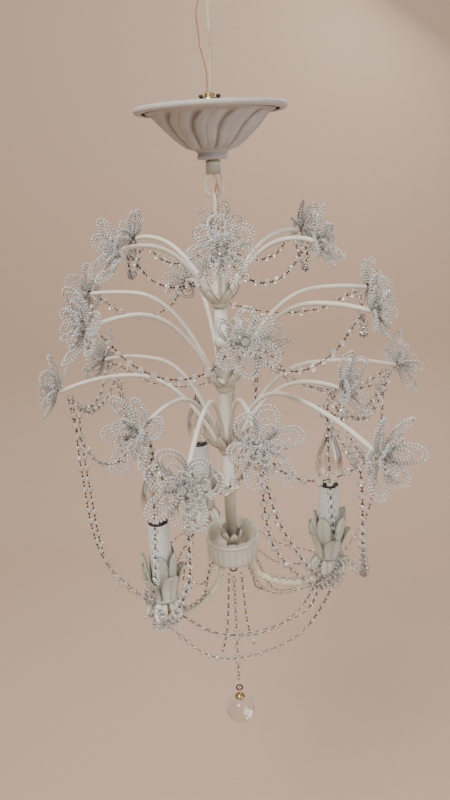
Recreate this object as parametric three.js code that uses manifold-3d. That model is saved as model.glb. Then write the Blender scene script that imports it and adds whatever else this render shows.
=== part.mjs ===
// A small hanging chandelier: a ceiling canopy, a short chain, a stem with three fountain tiers of
// arms that end in bead flowers, a drum hub with three candle arms, bead garlands and a glass ball.
// Millimetres, +Z up. The origin is the centre of the canopy rim's top plane, which is the ceiling.
// Angles run round the stem from the front (-Y), positive towards +X.

import * as THREE from 'three';
import { mergeVertices } from 'three/addons/utils/BufferGeometryUtils.js';
import Module from 'manifold-3d';

const wasm = await Module();
wasm.setup();

// ---- Driving dimensions -------------------------------------------------------------------------

const GAP = 0.4; // clearance between touching pieces
const HINGE_GAP = 0.6; // clearance between linked wires

const CANOPY_R = 72.5;
const CANOPY_DEPTH = 39;
const CANOPY_WALL = 1.6;
const CANOPY_LIP = 5;
const CANOPY_COVE = 6.5; // how far the hollow curve under the lip reaches out past the bowl
const CANOPY_INSET = 14; // from the rim in to the top of the bowl
const NECK_R = 15; // the ring under the canopy
const NECK_HEIGHT = 8;

const NIPPLE_R = 5;
const NIPPLE_BORE_R = 3.6;
const NIPPLE_ABOVE = 11; // how far it stands above the ceiling plane
const STRAP_LENGTH = 96;
const STRAP_WIDTH = 18;
const STRAP_THICK = 2;
const STRAP_SLOT_LENGTH = 15.4;
const STRAP_SLOT_WIDTH = 4.6;
const STRAP_SLOT_X = 32.6; // from the middle of the strap to the middle of each slot
const NUT_R = 10.5;
const NUT_HEIGHT = 3;
const SCREW_R = 1.7; // the two small screws that stand on the nut's flange

const LINK_WIRE_R = 1.5;
const LINK_HALF_WIDTH = 8.5; // wire centre to the link's middle
const LINK_HEIGHT = 25; // between the wire centres at its top and bottom
const LOOP_HUB_R = 7.2;
const LOOP_HUB_HEIGHT = 13;
const SPIGOT_LENGTH = 10; // how far the lower loop's spigot goes down into the stem

const CORD_R = 1.5;
const GROUND_R = 0.65;
const CORD_RISE = 104; // height above the ceiling plane where the cord is tied into its loop
const CORD_LOOP_R = 8;

const STEM_R = 6.5;
const STEM_BORE_R = 4.6;
const COLLAR_WALL = 3.2;

const ARM_R = 2.3; // the thin arms that carry the flowers
const FLOWER_R = 31;
const PETALS = 6;
const FLOWER_GAP = 0.15; // from the circle round an arm's end to its flower's back
const FLOWER_TILT = 14; // how far a flower looks up from level

// Each tier: the height of its collar, where its arms reach their highest point, and its arms as
// [angle in degrees, reach, how far the tip hangs below the highest point].
const TIERS = {
  upper: {
    collarZ: -183, collarHeight: 14, apexZ: -120, apexR: 88, leaves: 6, leafLength: 22,
    arms: [[2, 98, 3], [60, 104, 3], [118, 100, 2], [180, 98, 2], [240, 100, 2], [300, 104, 3]],
  },
  middle: {
    collarZ: -274, collarHeight: 16, apexZ: -181, apexR: 112, leaves: 6, leafLength: 24,
    arms: [[8, 130, 14], [62, 158, 5], [106, 168, 5], [195, 155, 5], [240, 172, 4], [307, 152, 4]],
  },
  lower: {
    collarZ: -348, collarHeight: 16, apexZ: -263, apexR: 102, leaves: 8, leafLength: 30,
    arms: [[10, 160, 16], [37, 212, 26], [64, 128, 4], [104, 205, 16], [163, 186, 18], [228, 202, 16],
      [264, 184, 18], [329, 150, 10], [350, 204, 30]],
  },
};

const HUB_R = 31.5;
const HUB_TOP_Z = -458;
const HUB_HEIGHT = 34;
const HUB_WALL = 1.6;

const CANDLES = 3;
const FIRST_CANDLE_ANGLE = -41.5;
const CANDLE_RING_R = 113;
const CUP_Z = -481;
const CANDLE_ARM_R = 4;
const ARM_ROOT_R = 20; // where the candle arms leave the underside of the hub
const ARM_DIP = 34; // how far the candle arms hang below the hub
const ARM_STUB = 8; // how far a candle arm's end stands up into its sleeve
const SAUCER_TOP = 1.6; // a leaf cup's floor above CUP_Z
// The rings of leaves on a candle cup. tilt is above level, and blade is [length, width, thickness, curl].
const CUP_LEAVES = {
  tall: { count: 5, tilt: 88, firstAngle: 36, blade: [57, 14, 1.1, -0.06] },
  flared: { count: 5, tilt: 80, firstAngle: 0, blade: [38, 17, 1.1, -0.3] },
  hanging: { count: 6, tilt: -50, firstAngle: 30, blade: [21, 13, 1.1, -0.5] },
};
const SLEEVE_R = 11.25;
const SLEEVE_WALL = 1;
const SLEEVE_LENGTH = 88;
const SOCKET_CLEARANCE = 0.65; // between a socket and the sleeve round it
const BULB_BASE_R = 6;
const BULB_CLEARANCE = 0.7; // between a bulb's base and its socket
const BULB_BASE_LENGTH = 17;
const BULB_R = 15.5;
const BULB_LENGTH = 72; // glass above the sleeve

const BEAD_R = 2.6; // half a garland's thickness
const GARLAND_INSET = 9; // how far in from an arm's tip its garland hangs
const UPPER_SAG = 26;
const MIDDLE_SAG = 34;
const LOWER_SAG = 46;
const LONG_SAG = 22; // less than the lower garland's, to hang clear above the bulbs
const LONG_INSET = 20; // how far in from an arm's tip the long strand hangs
const LONG_BELOW = 18; // the gap between a lower arm and the long strand under it
const HUB_SWAG_DROP = 92; // how far the lowest swags hang below the hub

// One long strand that hangs down to each candle cup from the tips of the lower arms beside it and
// sags between those tips. A cup is [its number, degrees round from it, how far out from it].
const LONG_STRAND = [
  { cup: [0, 0, 30] }, { arm: 8 }, { arm: 0 },
  { cup: [1, -4, 29] }, { cup: [1, 3, 33] }, { cup: [1, -4, 37] },
  { arm: 1 }, { arm: 2 }, { arm: 3 }, { arm: 4 },
  { cup: [2, 0, 30] }, { arm: 5 }, { arm: 6 },
];

const FINIAL_R = 12;
const FINIAL_HEIGHT = 9;
const RING_R = 4;
const RING_WIRE_R = 0.9;
const STRAND_LENGTH = 192; // between the wire centres of its two rings
const STRAND_BEADS = 10;
const BALL_R = 18.5;

// ---- Colours ------------------------------------------------------------------------------------

const finishes = {
  cream: new THREE.MeshStandardMaterial({ color: 0xe6e2d4, roughness: 0.55, metalness: 0.0 }),
  brass: new THREE.MeshStandardMaterial({ color: 0xb08d4c, roughness: 0.35, metalness: 1.0 }),
  sleeve: new THREE.MeshStandardMaterial({ color: 0xe9ebe6, roughness: 0.6, metalness: 0.0 }),
  socket: new THREE.MeshStandardMaterial({ color: 0x3b2f2a, roughness: 0.7, metalness: 0.0 }),
  copper: new THREE.MeshStandardMaterial({ color: 0xb5714a, roughness: 0.4, metalness: 1.0 }),
  cord: new THREE.MeshStandardMaterial({ color: 0xd8cfc0, roughness: 0.3, metalness: 0.0 }),
  beads: new THREE.MeshStandardMaterial({ color: 0xe8e8e4, roughness: 0.1, metalness: 0.0 }),
  glass: new THREE.MeshStandardMaterial({ color: 0xf2f4f4, roughness: 0.03, metalness: 0.0 }),
};

// ---- Solid helpers ------------------------------------------------------------------------------

const chandelier = new THREE.Group();

function welded(geometry) {
  const bare = geometry.index ? geometry.toNonIndexed() : geometry.clone();
  bare.deleteAttribute('normal');
  bare.deleteAttribute('uv');
  const merged = mergeVertices(bare, 1e-3);
  const kept = [];
  const index = merged.index.array;
  for (let i = 0; i < index.length; i += 3) {
    const [a, b, c] = [index[i], index[i + 1], index[i + 2]];
    if (a !== b && b !== c && c !== a) kept.push(a, b, c);
  }
  merged.setIndex(kept);
  return facingOut(merged);
}

function facingOut(geometry) {
  const at = geometry.attributes.position;
  const index = Array.from(geometry.index.array);
  const [a, b, c] = [new THREE.Vector3(), new THREE.Vector3(), new THREE.Vector3()];
  let volume = 0;
  for (let i = 0; i < index.length; i += 3) {
    a.fromBufferAttribute(at, index[i]);
    b.fromBufferAttribute(at, index[i + 1]);
    c.fromBufferAttribute(at, index[i + 2]);
    volume += a.dot(b.cross(c));
  }
  if (volume < 0) {
    for (let i = 0; i < index.length; i += 3) {
      [index[i + 1], index[i + 2]] = [index[i + 2], index[i + 1]];
    }
  }
  geometry.setIndex(index);
  return geometry;
}

function toManifold(geometry) {
  const closed = welded(geometry);
  return new wasm.Manifold(new wasm.Mesh({
    numProp: 3,
    vertProperties: new Float32Array(closed.attributes.position.array),
    triVerts: new Uint32Array(closed.index.array),
  }));
}

function fromManifold(solid) {
  const mesh = solid.getMesh();
  const geometry = new THREE.BufferGeometry();
  geometry.setAttribute('position', new THREE.BufferAttribute(mesh.vertProperties, 3));
  geometry.setIndex(Array.from(mesh.triVerts));
  return geometry;
}

function joined(geometries) {
  let solid = toManifold(geometries[0]);
  for (const geometry of geometries.slice(1)) solid = solid.add(toManifold(geometry));
  return fromManifold(solid);
}

function cut(geometry, tools) {
  let solid = toManifold(geometry);
  for (const tool of tools) solid = solid.subtract(toManifold(tool));
  return fromManifold(solid);
}

// A turned solid round the Z axis. profile is a list of [radius, height].
function turned(profile, segments = 24) {
  const points = profile.map(([r, z]) => new THREE.Vector2(r, z));
  return new THREE.LatheGeometry(points, segments).rotateX(Math.PI / 2);
}

// A ring-shaped solid: the profile closes on itself.
function turnedRing(profile, segments = 24) {
  return turned([...profile, profile[0]], segments);
}

function disc(radius, sides) {
  const shape = new THREE.Shape();
  for (let i = 0; i < sides; i++) {
    const a = (2 * Math.PI * i) / sides;
    if (i === 0) shape.moveTo(radius, 0);
    else shape.lineTo(radius * Math.cos(a), radius * Math.sin(a));
  }
  shape.closePath();
  return shape;
}

function wire(points, radius, steps, sides = 8) {
  const path = new THREE.CatmullRomCurve3(points, false, 'centripetal');
  return new THREE.ExtrudeGeometry(disc(radius, sides), { steps, extrudePath: path, curveSegments: 1 });
}

function closedWire(points, radius, steps, sides = 8) {
  const path = new THREE.CatmullRomCurve3(points, true, 'centripetal');
  return new THREE.TubeGeometry(path, steps, radius, sides, true);
}

// A point at an angle round the stem.
function polar(degrees, r, z) {
  const a = THREE.MathUtils.degToRad(degrees);
  return new THREE.Vector3(r * Math.sin(a), -r * Math.cos(a), z);
}

// A wire link standing in the XZ plane: straight sides and round ends, its top wire centre at topZ.
function linkLoop(topZ, height) {
  const points = [];
  const straight = height / 2 - LINK_HALF_WIDTH;
  const middle = topZ - height / 2;
  for (const [first, centre] of [[0, middle + straight], [4, middle - straight]]) {
    for (let i = first; i <= first + 4; i++) {
      const a = (Math.PI * i) / 4;
      const [x, up] = [LINK_HALF_WIDTH * Math.cos(a), LINK_HALF_WIDTH * Math.sin(a)];
      points.push(new THREE.Vector3(x, 0, centre + up));
    }
  }
  return closedWire(points, LINK_WIRE_R, 20, 6);
}

// A small round ring in the XZ plane.
function smallRing(centreZ) {
  return new THREE.TorusGeometry(RING_R, RING_WIRE_R, 5, 10)
    .rotateX(Math.PI / 2)
    .translate(0, 0, centreZ);
}

function add(name, geometry, finish) {
  const mesh = new THREE.Mesh(welded(geometry), finishes[finish]);
  mesh.name = name;
  chandelier.add(mesh);
}

// ---- Canopy, strap and nipple -------------------------------------------------------------------

const canopyBottomZ = -CANOPY_DEPTH - NECK_HEIGHT;

// The bowl's outside, from the lip to the neck ring: a hollow curve under the lip, then a full belly.
function bowlRadius(share) {
  const inner = NECK_R + 4;
  const cove = Math.pow(Math.max(0, 1 - share / 0.12), 2);
  return inner + (CANOPY_R - CANOPY_INSET - inner) * Math.pow(1 - share, 0.72) + CANOPY_COVE * cove;
}

function canopy() {
  const outside = [];
  const inside = [];
  const top = -CANOPY_LIP;
  for (const share of [0, 0.05, 0.15, 0.35, 0.6, 0.82, 0.96]) {
    const z = top - share * (CANOPY_DEPTH - CANOPY_LIP);
    outside.push([bowlRadius(share), z]);
    if (share !== 0.15) inside.push([bowlRadius(share) - CANOPY_WALL * 1.3, z + CANOPY_WALL * 0.4]);
  }
  const bore = NIPPLE_R + GAP;
  add('canopy', turnedRing([
    [CANOPY_R - 3, 0], [CANOPY_R, 0], [CANOPY_R, -CANOPY_LIP + 1.5], [CANOPY_R - 2.5, top],
    ...outside,
    [NECK_R, -CANOPY_DEPTH], [NECK_R, canopyBottomZ + 2], [NECK_R - 2.5, canopyBottomZ],
    [bore, canopyBottomZ], [bore, -CANOPY_DEPTH + CANOPY_WALL + 2],
    [NECK_R, -CANOPY_DEPTH + CANOPY_WALL + 2],
    ...inside.reverse(),
  ], 28), 'cream');
}

function strap() {
  const bar = new THREE.BoxGeometry(STRAP_LENGTH, STRAP_WIDTH, STRAP_THICK)
    .translate(0, 0, -STRAP_THICK / 2);
  const bore = NIPPLE_R + GAP;
  const through = 2 * STRAP_THICK;
  const hole = turned([[0, -through], [bore, -through], [bore, through], [0, through]], 14);
  const slots = [-1, 1].map((side) => new THREE.BoxGeometry(STRAP_SLOT_LENGTH, STRAP_SLOT_WIDTH, 2 * through)
    .translate(side * STRAP_SLOT_X, 0, 0));
  add('mounting_strap', cut(bar, [hole, ...slots]), 'brass');
}

function nippleAndNut() {
  const low = canopyBottomZ - LOOP_HUB_HEIGHT * 0.6;
  add('hanging_nipple', turnedRing([
    [NIPPLE_BORE_R, low], [NIPPLE_R, low], [NIPPLE_R, NIPPLE_ABOVE], [NIPPLE_BORE_R, NIPPLE_ABOVE],
  ], 14), 'brass');
  const bore = NIPPLE_R + GAP;
  const flange = turnedRing([
    [bore, GAP], [NUT_R, GAP], [NUT_R, GAP + NUT_HEIGHT * 0.6], [NUT_R - 2, GAP + NUT_HEIGHT],
    [bore + 1.4, NIPPLE_ABOVE - 3], [bore, NIPPLE_ABOVE - 3],
  ], 14);
  const screwHeight = NIPPLE_ABOVE - 1.5;
  const screws = [-1, 1].map((side) => new THREE.CylinderGeometry(SCREW_R, SCREW_R, screwHeight, 7)
    .rotateX(Math.PI / 2)
    .translate(side * (NUT_R - SCREW_R - 0.7), 0, GAP + 0.5 + screwHeight / 2));
  add('lock_nut', joined([flange, ...screws]), 'brass');
}

// ---- Chain --------------------------------------------------------------------------------------

const canopyLoopTopZ = canopyBottomZ - LOOP_HUB_HEIGHT + 4;
const firstHingeZ = canopyLoopTopZ - LINK_HEIGHT;
const linkTopZ = firstHingeZ + 2 * LINK_WIRE_R + HINGE_GAP;
const secondHingeZ = linkTopZ - LINK_HEIGHT;
const stemLoopTopZ = secondHingeZ + 2 * LINK_WIRE_R + HINGE_GAP;
const stemHubTopZ = stemLoopTopZ - LINK_HEIGHT;
const stemTopZ = stemHubTopZ - LOOP_HUB_HEIGHT * 0.6;

function chain() {
  const hubTop = canopyBottomZ - GAP;
  const hubLow = hubTop - LOOP_HUB_HEIGHT;
  const bore = NIPPLE_R + GAP;
  const upperHub = turned([
    [0, hubLow], [LOOP_HUB_R - 1, hubLow], [LOOP_HUB_R, hubLow + 1.5], [LOOP_HUB_R, hubTop],
    [bore, hubTop], [bore, hubTop - LOOP_HUB_HEIGHT * 0.7], [0, hubTop - LOOP_HUB_HEIGHT * 0.7],
  ], 14);
  add('canopy_loop', joined([linkLoop(canopyLoopTopZ, LINK_HEIGHT), upperHub]), 'cream');
  add('chain_link', linkLoop(linkTopZ, LINK_HEIGHT).rotateZ(Math.PI / 2), 'cream');

  // The lower loop ends in a threaded hub whose spigot goes down into the stem.
  const spigot = STEM_BORE_R - GAP;
  const lowerHub = turned([
    [0, stemTopZ - SPIGOT_LENGTH], [spigot, stemTopZ - SPIGOT_LENGTH], [spigot, stemTopZ + GAP],
    [LOOP_HUB_R, stemTopZ + GAP], [LOOP_HUB_R, stemHubTopZ], [LOOP_HUB_R - 2, stemHubTopZ + 2],
    [0, stemHubTopZ + 2],
  ], 14);
  add('stem_loop', joined([linkLoop(stemLoopTopZ, LINK_HEIGHT), lowerHub]), 'cream');
}

// The lamp cord beside the chain: in front of the two loops and to the right of the link.
function chainCord() {
  const beside = LINK_WIRE_R + CORD_R + 1.2;
  const point = (dx, dy, z) => new THREE.Vector3(beside + dx, -beside + dy, z);
  add('chain_cord', wire([
    point(-0.6, 0, canopyLoopTopZ - 12), point(0, -0.4, firstHingeZ - 2),
    point(0.6, 0, secondHingeZ + 2), point(0, -0.3, stemHubTopZ + 8),
  ], CORD_R, 12), 'cord');
}

// ---- Supply cord and ground wire ----------------------------------------------------------------

// The cord rises straight from the nipple and ends in a loop that is tied back to it. The bare ground
// wire bows out to the left of it and comes back to end at the tie.
function supply() {
  const start = NIPPLE_ABOVE + GAP;
  const points = [
    [1.4, start], [1.4, start + 9], [2.2, 40], [2.6, 66], [1, CORD_RISE - 12],
  ].map(([x, z]) => new THREE.Vector3(x, 0, z));
  for (let i = 0; i <= 8; i++) {
    const a = -0.8 * Math.PI - (i / 8) * 1.45 * Math.PI;
    const height = CORD_RISE + CORD_LOOP_R * 1.2 * (1 + Math.sin(a));
    points.push(new THREE.Vector3(CORD_LOOP_R * Math.cos(a), 0, height));
  }
  points.push(new THREE.Vector3(4.6, 0, CORD_RISE - 6), new THREE.Vector3(4.8, 0, CORD_RISE - 16));
  add('supply_cord', wire(points, CORD_R, 32), 'cord');
  add('ground_wire', wire([
    [-1.9, 0, start], [-1.9, 0, start + 5], [-1.4, -0.8, 26], [-3.4, -1.6, 38], [-6.4, -2, 50],
    [-7.2, -2.2, 62], [-8.4, -2.4, 74], [-6.6, -3, 84], [-3, -3.2, 92], [-1.4, -3.2, CORD_RISE - 4],
  ].map((at) => new THREE.Vector3(...at)), GROUND_R, 30), 'copper');
}

// ---- Stem, tiers and flowers --------------------------------------------------------------------

const hubBottomZ = HUB_TOP_Z - HUB_HEIGHT;
const stemBottomZ = hubBottomZ - 5;

function stem() {
  const bead = (z) => [[STEM_R, z + 5], [STEM_R + 2.4, z + 1.5], [STEM_R + 2.4, z - 1.5], [STEM_R, z - 5]];
  add('stem_tube', turnedRing([
    [STEM_BORE_R, stemTopZ], [STEM_R, stemTopZ],
    ...bead((TIERS.upper.collarZ + TIERS.middle.collarZ) / 2),
    ...bead((TIERS.lower.collarZ + HUB_TOP_Z) / 2),
    [STEM_R, stemBottomZ], [STEM_BORE_R, stemBottomZ],
  ], 14), 'cream');
}

// A fountain arm's centre line in its own plane, as [radius, height] pairs from collar to tip.
function armLine(tier, reach, drop) {
  const line = [];
  const startR = STEM_R + GAP + COLLAR_WALL * 0.55;
  const apexR = Math.min(tier.apexR, reach - 10);
  for (const share of [0, 0.09, 0.22, 0.4, 0.62, 0.82, 1]) {
    const rise = 1 - Math.pow(1 - share, 2.3);
    line.push([startR + share * (apexR - startR), tier.collarZ + rise * (tier.apexZ - tier.collarZ)]);
  }
  for (const share of [0.5, 1]) {
    line.push([apexR + share * (reach - apexR), tier.apexZ - drop * share * share]);
  }
  return line;
}

// A pointed leaf blade lying along +Y from the origin, curling towards +Z.
function leafBlade(length, width, thick, curl) {
  const across = [-1, 0, 1];
  const along = [0, 0.5, 1];
  const shapeOf = (u) => width * (0.42 + 0.58 * Math.sin(Math.PI * Math.min(1, 0.12 + u * 0.92))) / 2;
  const point = (u, v, side) => {
    const bend = curl * u * u;
    return [v * shapeOf(u), length * u * Math.cos(bend / 2), length * u * Math.sin(bend / 2)
      + Math.abs(v) * width * 0.1 + side * thick];
  };
  const vertices = [];
  for (const side of [0, 1]) {
    for (const u of along) for (const v of across) vertices.push(...point(u, v, side));
  }
  const at = (side, i, j) => side * 9 + i * 3 + j;
  const faces = [];
  for (let i = 0; i < 2; i++) {
    for (let j = 0; j < 2; j++) {
      for (const side of [1, 0]) {
        const ring = [at(side, i, j), at(side, i, j + 1), at(side, i + 1, j + 1), at(side, i + 1, j)];
        if (side === 0) ring.reverse();
        faces.push(ring[0], ring[1], ring[2], ring[0], ring[2], ring[3]);
      }
    }
    for (const [j, flip] of [[0, false], [2, true]]) {
      const ring = [at(0, i, j), at(1, i, j), at(1, i + 1, j), at(0, i + 1, j)];
      if (flip) ring.reverse();
      faces.push(ring[0], ring[1], ring[2], ring[0], ring[2], ring[3]);
    }
  }
  for (const [i, flip] of [[0, true], [2, false]]) {
    for (let j = 0; j < 2; j++) {
      const ring = [at(0, i, j), at(1, i, j), at(1, i, j + 1), at(0, i, j + 1)];
      if (flip) ring.reverse();
      faces.push(ring[0], ring[1], ring[2], ring[0], ring[2], ring[3]);
    }
  }
  const geometry = new THREE.BufferGeometry();
  geometry.setAttribute('position', new THREE.Float32BufferAttribute(vertices, 3));
  geometry.setIndex(faces);
  return geometry;
}

// Leaves in a ring. tilt is the blade's angle above level, in degrees; negative hangs down.
function leafRing({ count, tilt, firstAngle, blade }, radius, z) {
  return Array.from({ length: count }, (_, i) => leafBlade(...blade)
    .rotateX(THREE.MathUtils.degToRad(tilt))
    .translate(0, radius, 0)
    .rotateZ(THREE.MathUtils.degToRad(firstAngle + 180 + (360 * i) / count))
    .translate(0, 0, z));
}

function collar(tier) {
  const bore = STEM_R + GAP;
  const r = bore + COLLAR_WALL;
  const half = tier.collarHeight / 2;
  return turnedRing([
    [bore, tier.collarZ - half], [r - 1.5, tier.collarZ - half], [r, tier.collarZ - half * 0.5],
    [r, tier.collarZ + half * 0.5], [r - 1.5, tier.collarZ + half], [bore, tier.collarZ + half],
  ], 14);
}

function tierOf(name) {
  const tier = TIERS[name];
  const arms = tier.arms.map(([angle, reach, drop]) => wire(
    armLine(tier, reach, drop).map(([r, z]) => polar(angle, r, z)), ARM_R, 9, 5));
  const blade = [tier.leafLength, 13, 1.2, 0.5];
  const crown = { count: tier.leaves, tilt: 38, firstAngle: 180 / tier.leaves, blade };
  const leaves = leafRing(crown, STEM_R + GAP + 1.2, tier.collarZ - 3);
  add(`${name}_tier`, joined([collar(tier), ...leaves, ...arms]), 'cream');
}

// A bead flower: a shallow six-petalled rosette whose back is at the origin, facing +Z.
function rosette() {
  const perPetal = 2;
  const count = PETALS * perPetal;
  const rings = [[0.32, 0.4, 2.6], [1, 7.5, 1.8]]; // share of the outline, height of the back, thickness
  const outline = (i) => (i % perPetal === 0 ? 0.5 : 1);
  const vertices = [0, 0, 0, 0, 0, 5];
  for (const [share, back, thick] of rings) {
    for (const side of [0, 1]) {
      for (let i = 0; i < count; i++) {
        const a = (2 * Math.PI * i) / count;
        const r = FLOWER_R * share * (share === 1 ? outline(i) : 1);
        const lift = share === 1 ? back * outline(i) : back;
        vertices.push(r * Math.cos(a), r * Math.sin(a), lift + side * thick);
      }
    }
  }
  const at = (ring, side, i) => 2 + ring * 2 * count + side * count + (i % count);
  const faces = [];
  for (let i = 0; i < count; i++) {
    faces.push(1, at(0, 1, i), at(0, 1, i + 1), 0, at(0, 0, i + 1), at(0, 0, i));
    faces.push(at(0, 1, i), at(1, 1, i), at(1, 1, i + 1), at(0, 1, i), at(1, 1, i + 1), at(0, 1, i + 1));
    faces.push(at(0, 0, i), at(1, 0, i + 1), at(1, 0, i), at(0, 0, i), at(0, 0, i + 1), at(1, 0, i + 1));
    faces.push(at(1, 1, i), at(1, 0, i), at(1, 0, i + 1), at(1, 1, i), at(1, 0, i + 1), at(1, 1, i + 1));
  }
  const geometry = new THREE.BufferGeometry();
  geometry.setAttribute('position', new THREE.Float32BufferAttribute(vertices, 3));
  geometry.setIndex(faces);
  return geometry;
}

function flowers() {
  for (const [name, tier] of Object.entries(TIERS)) {
    tier.arms.forEach(([angle, reach, drop], i) => {
      // The flower's back stands off by as much as the rim of the arm's end reaches towards it.
      const tilt = THREE.MathUtils.degToRad(FLOWER_TILT);
      const apexR = Math.min(tier.apexR, reach - 10);
      const droop = Math.atan2(2 * drop, reach - apexR);
      const away = FLOWER_GAP + ARM_R * Math.sin(tilt + droop);
      const place = polar(angle, reach + away * Math.cos(tilt), tier.apexZ - drop + away * Math.sin(tilt));
      const flower = rosette()
        .rotateZ(THREE.MathUtils.degToRad(17 * i))
        .rotateX(Math.PI / 2 - tilt)
        .rotateZ(THREE.MathUtils.degToRad(angle));
      add(`${name}_flower_${i + 1}`, flower.translate(place.x, place.y, place.z), 'beads');
    });
  }
}

// ---- Hub and candle arms ------------------------------------------------------------------------

const candleAngles = Array.from({ length: CANDLES }, (_, i) => FIRST_CANDLE_ANGLE + (360 * i) / CANDLES);

function hub() {
  const bore = STEM_R + GAP;
  const floor = hubBottomZ + 5;
  const shell = turnedRing([
    [HUB_R - HUB_WALL, HUB_TOP_Z], [HUB_R + 1, HUB_TOP_Z + 1], [HUB_R + 1, HUB_TOP_Z - 2],
    [HUB_R - 1, HUB_TOP_Z - 5], [HUB_R - 1, hubBottomZ + 6], [HUB_R - 4, hubBottomZ],
    [bore, hubBottomZ], [bore, floor], [HUB_R - 6, floor], [HUB_R - 1 - HUB_WALL, floor + 4],
    [HUB_R - 1 - HUB_WALL, HUB_TOP_Z - 4],
  ], 20);
  add('hub_bowl', shell, 'cream');
}

function finial() {
  const top = hubBottomZ - GAP;
  const low = top - FINIAL_HEIGHT;
  const bore = STEM_R + GAP;
  const knob = turned([
    [0, low], [4, low], [FINIAL_R - 3, low + 3], [FINIAL_R, top - 2], [FINIAL_R - 1, top],
    [bore, top], [bore, stemBottomZ - GAP], [0, stemBottomZ - GAP],
  ], 14);
  add('bottom_finial', joined([knob, smallRing(low - RING_R + 1).rotateZ(Math.PI / 2)]), 'cream');
}

const ringHingeZ = hubBottomZ - GAP - FINIAL_HEIGHT - 2 * RING_R + 1;

function candleArm(i) {
  const start = hubBottomZ - GAP;
  const dip = hubBottomZ - ARM_DIP;
  const line = [
    [ARM_ROOT_R, start], [ARM_ROOT_R, start - 5], [ARM_ROOT_R + 7, start - 20], [ARM_ROOT_R + 24, dip + 4],
    [CANDLE_RING_R * 0.6, dip], [CANDLE_RING_R * 0.82, dip + 7], [CANDLE_RING_R * 0.96, dip + 20],
    [CANDLE_RING_R, CUP_Z - 9], [CANDLE_RING_R, CUP_Z + ARM_STUB],
  ];
  const points = line.map(([r, z]) => polar(candleAngles[i], r, z));
  add(`candle_arm_${i + 1}`, wire(points, CANDLE_ARM_R, 13, 8), 'cream');
}

function leafCup(i) {
  const place = polar(candleAngles[i], CANDLE_RING_R, 0);
  const bore = CANDLE_ARM_R + 2 * GAP;
  const rootR = SLEEVE_R + 2.35; // where the leaves stand on the saucer
  const saucer = turnedRing([
    [bore, CUP_Z - 3], [rootR - 4.6, CUP_Z - 3], [rootR + 1.4, CUP_Z - 0.4],
    [rootR + 1.8, CUP_Z + SAUCER_TOP], [bore, CUP_Z + SAUCER_TOP],
  ], 12);
  const cup = joined([
    saucer,
    ...leafRing(CUP_LEAVES.tall, rootR, CUP_Z - 0.5),
    ...leafRing(CUP_LEAVES.flared, rootR, CUP_Z - 0.5),
    ...leafRing(CUP_LEAVES.hanging, rootR - 3.6, CUP_Z - 2.6),
  ]);
  const turn = THREE.MathUtils.degToRad(candleAngles[i]);
  add(`leaf_cup_${i + 1}`, cup.rotateZ(turn).translate(place.x, place.y, 0), 'cream');
}

function candle(i) {
  const place = polar(candleAngles[i], CANDLE_RING_R, 0);
  const floor = CUP_Z + SAUCER_TOP + GAP;
  const top = floor + SLEEVE_LENGTH;
  const put = (name, geometry, finish) => {
    add(`${name}_${i + 1}`, geometry.translate(place.x, place.y, 0), finish);
  };
  put('candle_sleeve', turnedRing([
    [SLEEVE_R - SLEEVE_WALL, floor], [SLEEVE_R, floor], [SLEEVE_R, top], [SLEEVE_R - SLEEVE_WALL, top],
  ], 18), 'sleeve');

  const socketR = SLEEVE_R - SLEEVE_WALL - SOCKET_CLEARANCE;
  const bore = BULB_BASE_R + BULB_CLEARANCE;
  const socketTop = top - 3;
  const socketLow = CUP_Z + ARM_STUB + GAP;
  const contactZ = socketTop - BULB_BASE_LENGTH - 2;
  put('lamp_socket', turned([
    [0, socketLow], [socketR - 3, socketLow], [socketR - 3, contactZ - 8], [socketR, contactZ - 5],
    [socketR, socketTop], [bore, socketTop], [bore, contactZ], [0, contactZ],
  ], 12), 'socket');

  const glassZ = socketTop + 1;
  const profile = [
    [0, contactZ + 1.2], [2.4, contactZ + 1.2], [BULB_BASE_R, contactZ + 3.5], [BULB_BASE_R, glassZ],
    [BULB_BASE_R + 1.4, glassZ + 2.5],
  ];
  for (const [share, r] of [[0.1, 0.66], [0.22, 0.92], [0.34, 1], [0.5, 0.88], [0.68, 0.56], [0.85, 0.25]]) {
    profile.push([BULB_R * r, top + BULB_LENGTH * share]);
  }
  profile.push([0, top + BULB_LENGTH]);
  put('bulb', turned(profile, 12), 'glass');
}

// ---- Garlands, strand and ball ------------------------------------------------------------------

// Points on a strand that sags between two places, each given as [angle, radius, height].
function swag([angle, r, z], [nextAngle, nextR, nextZ], sag) {
  const turn = (nextAngle - angle + 720) % 360;
  const depth = sag * Math.min(1, turn / 50);
  return [0.25, 0.5, 0.75].map((share) => {
    const bow = 4 * share * (1 - share);
    const flat = 1 - 0.06 * (turn / 60) * bow;
    const height = z + (nextZ - z) * share - depth * bow;
    return polar(angle + turn * share, (r + (nextR - r) * share) * flat, height);
  });
}

// A garland that hangs from each arm's tip in turn and sags between them.
function tierGarland(name, sag) {
  const tier = TIERS[name];
  const under = ARM_R + BEAD_R + 1;
  const stops = tier.arms.map(([angle, reach, fall]) => (
    [angle, reach - GARLAND_INSET, tier.apexZ - fall - under]));
  const points = [];
  stops.forEach((stop, i) => {
    points.push(polar(...stop), ...swag(stop, stops[(i + 1) % stops.length], sag));
  });
  add(`${name}_garland`, closedWire(points, BEAD_R, stops.length * 7, 4), 'beads');
}

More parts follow.
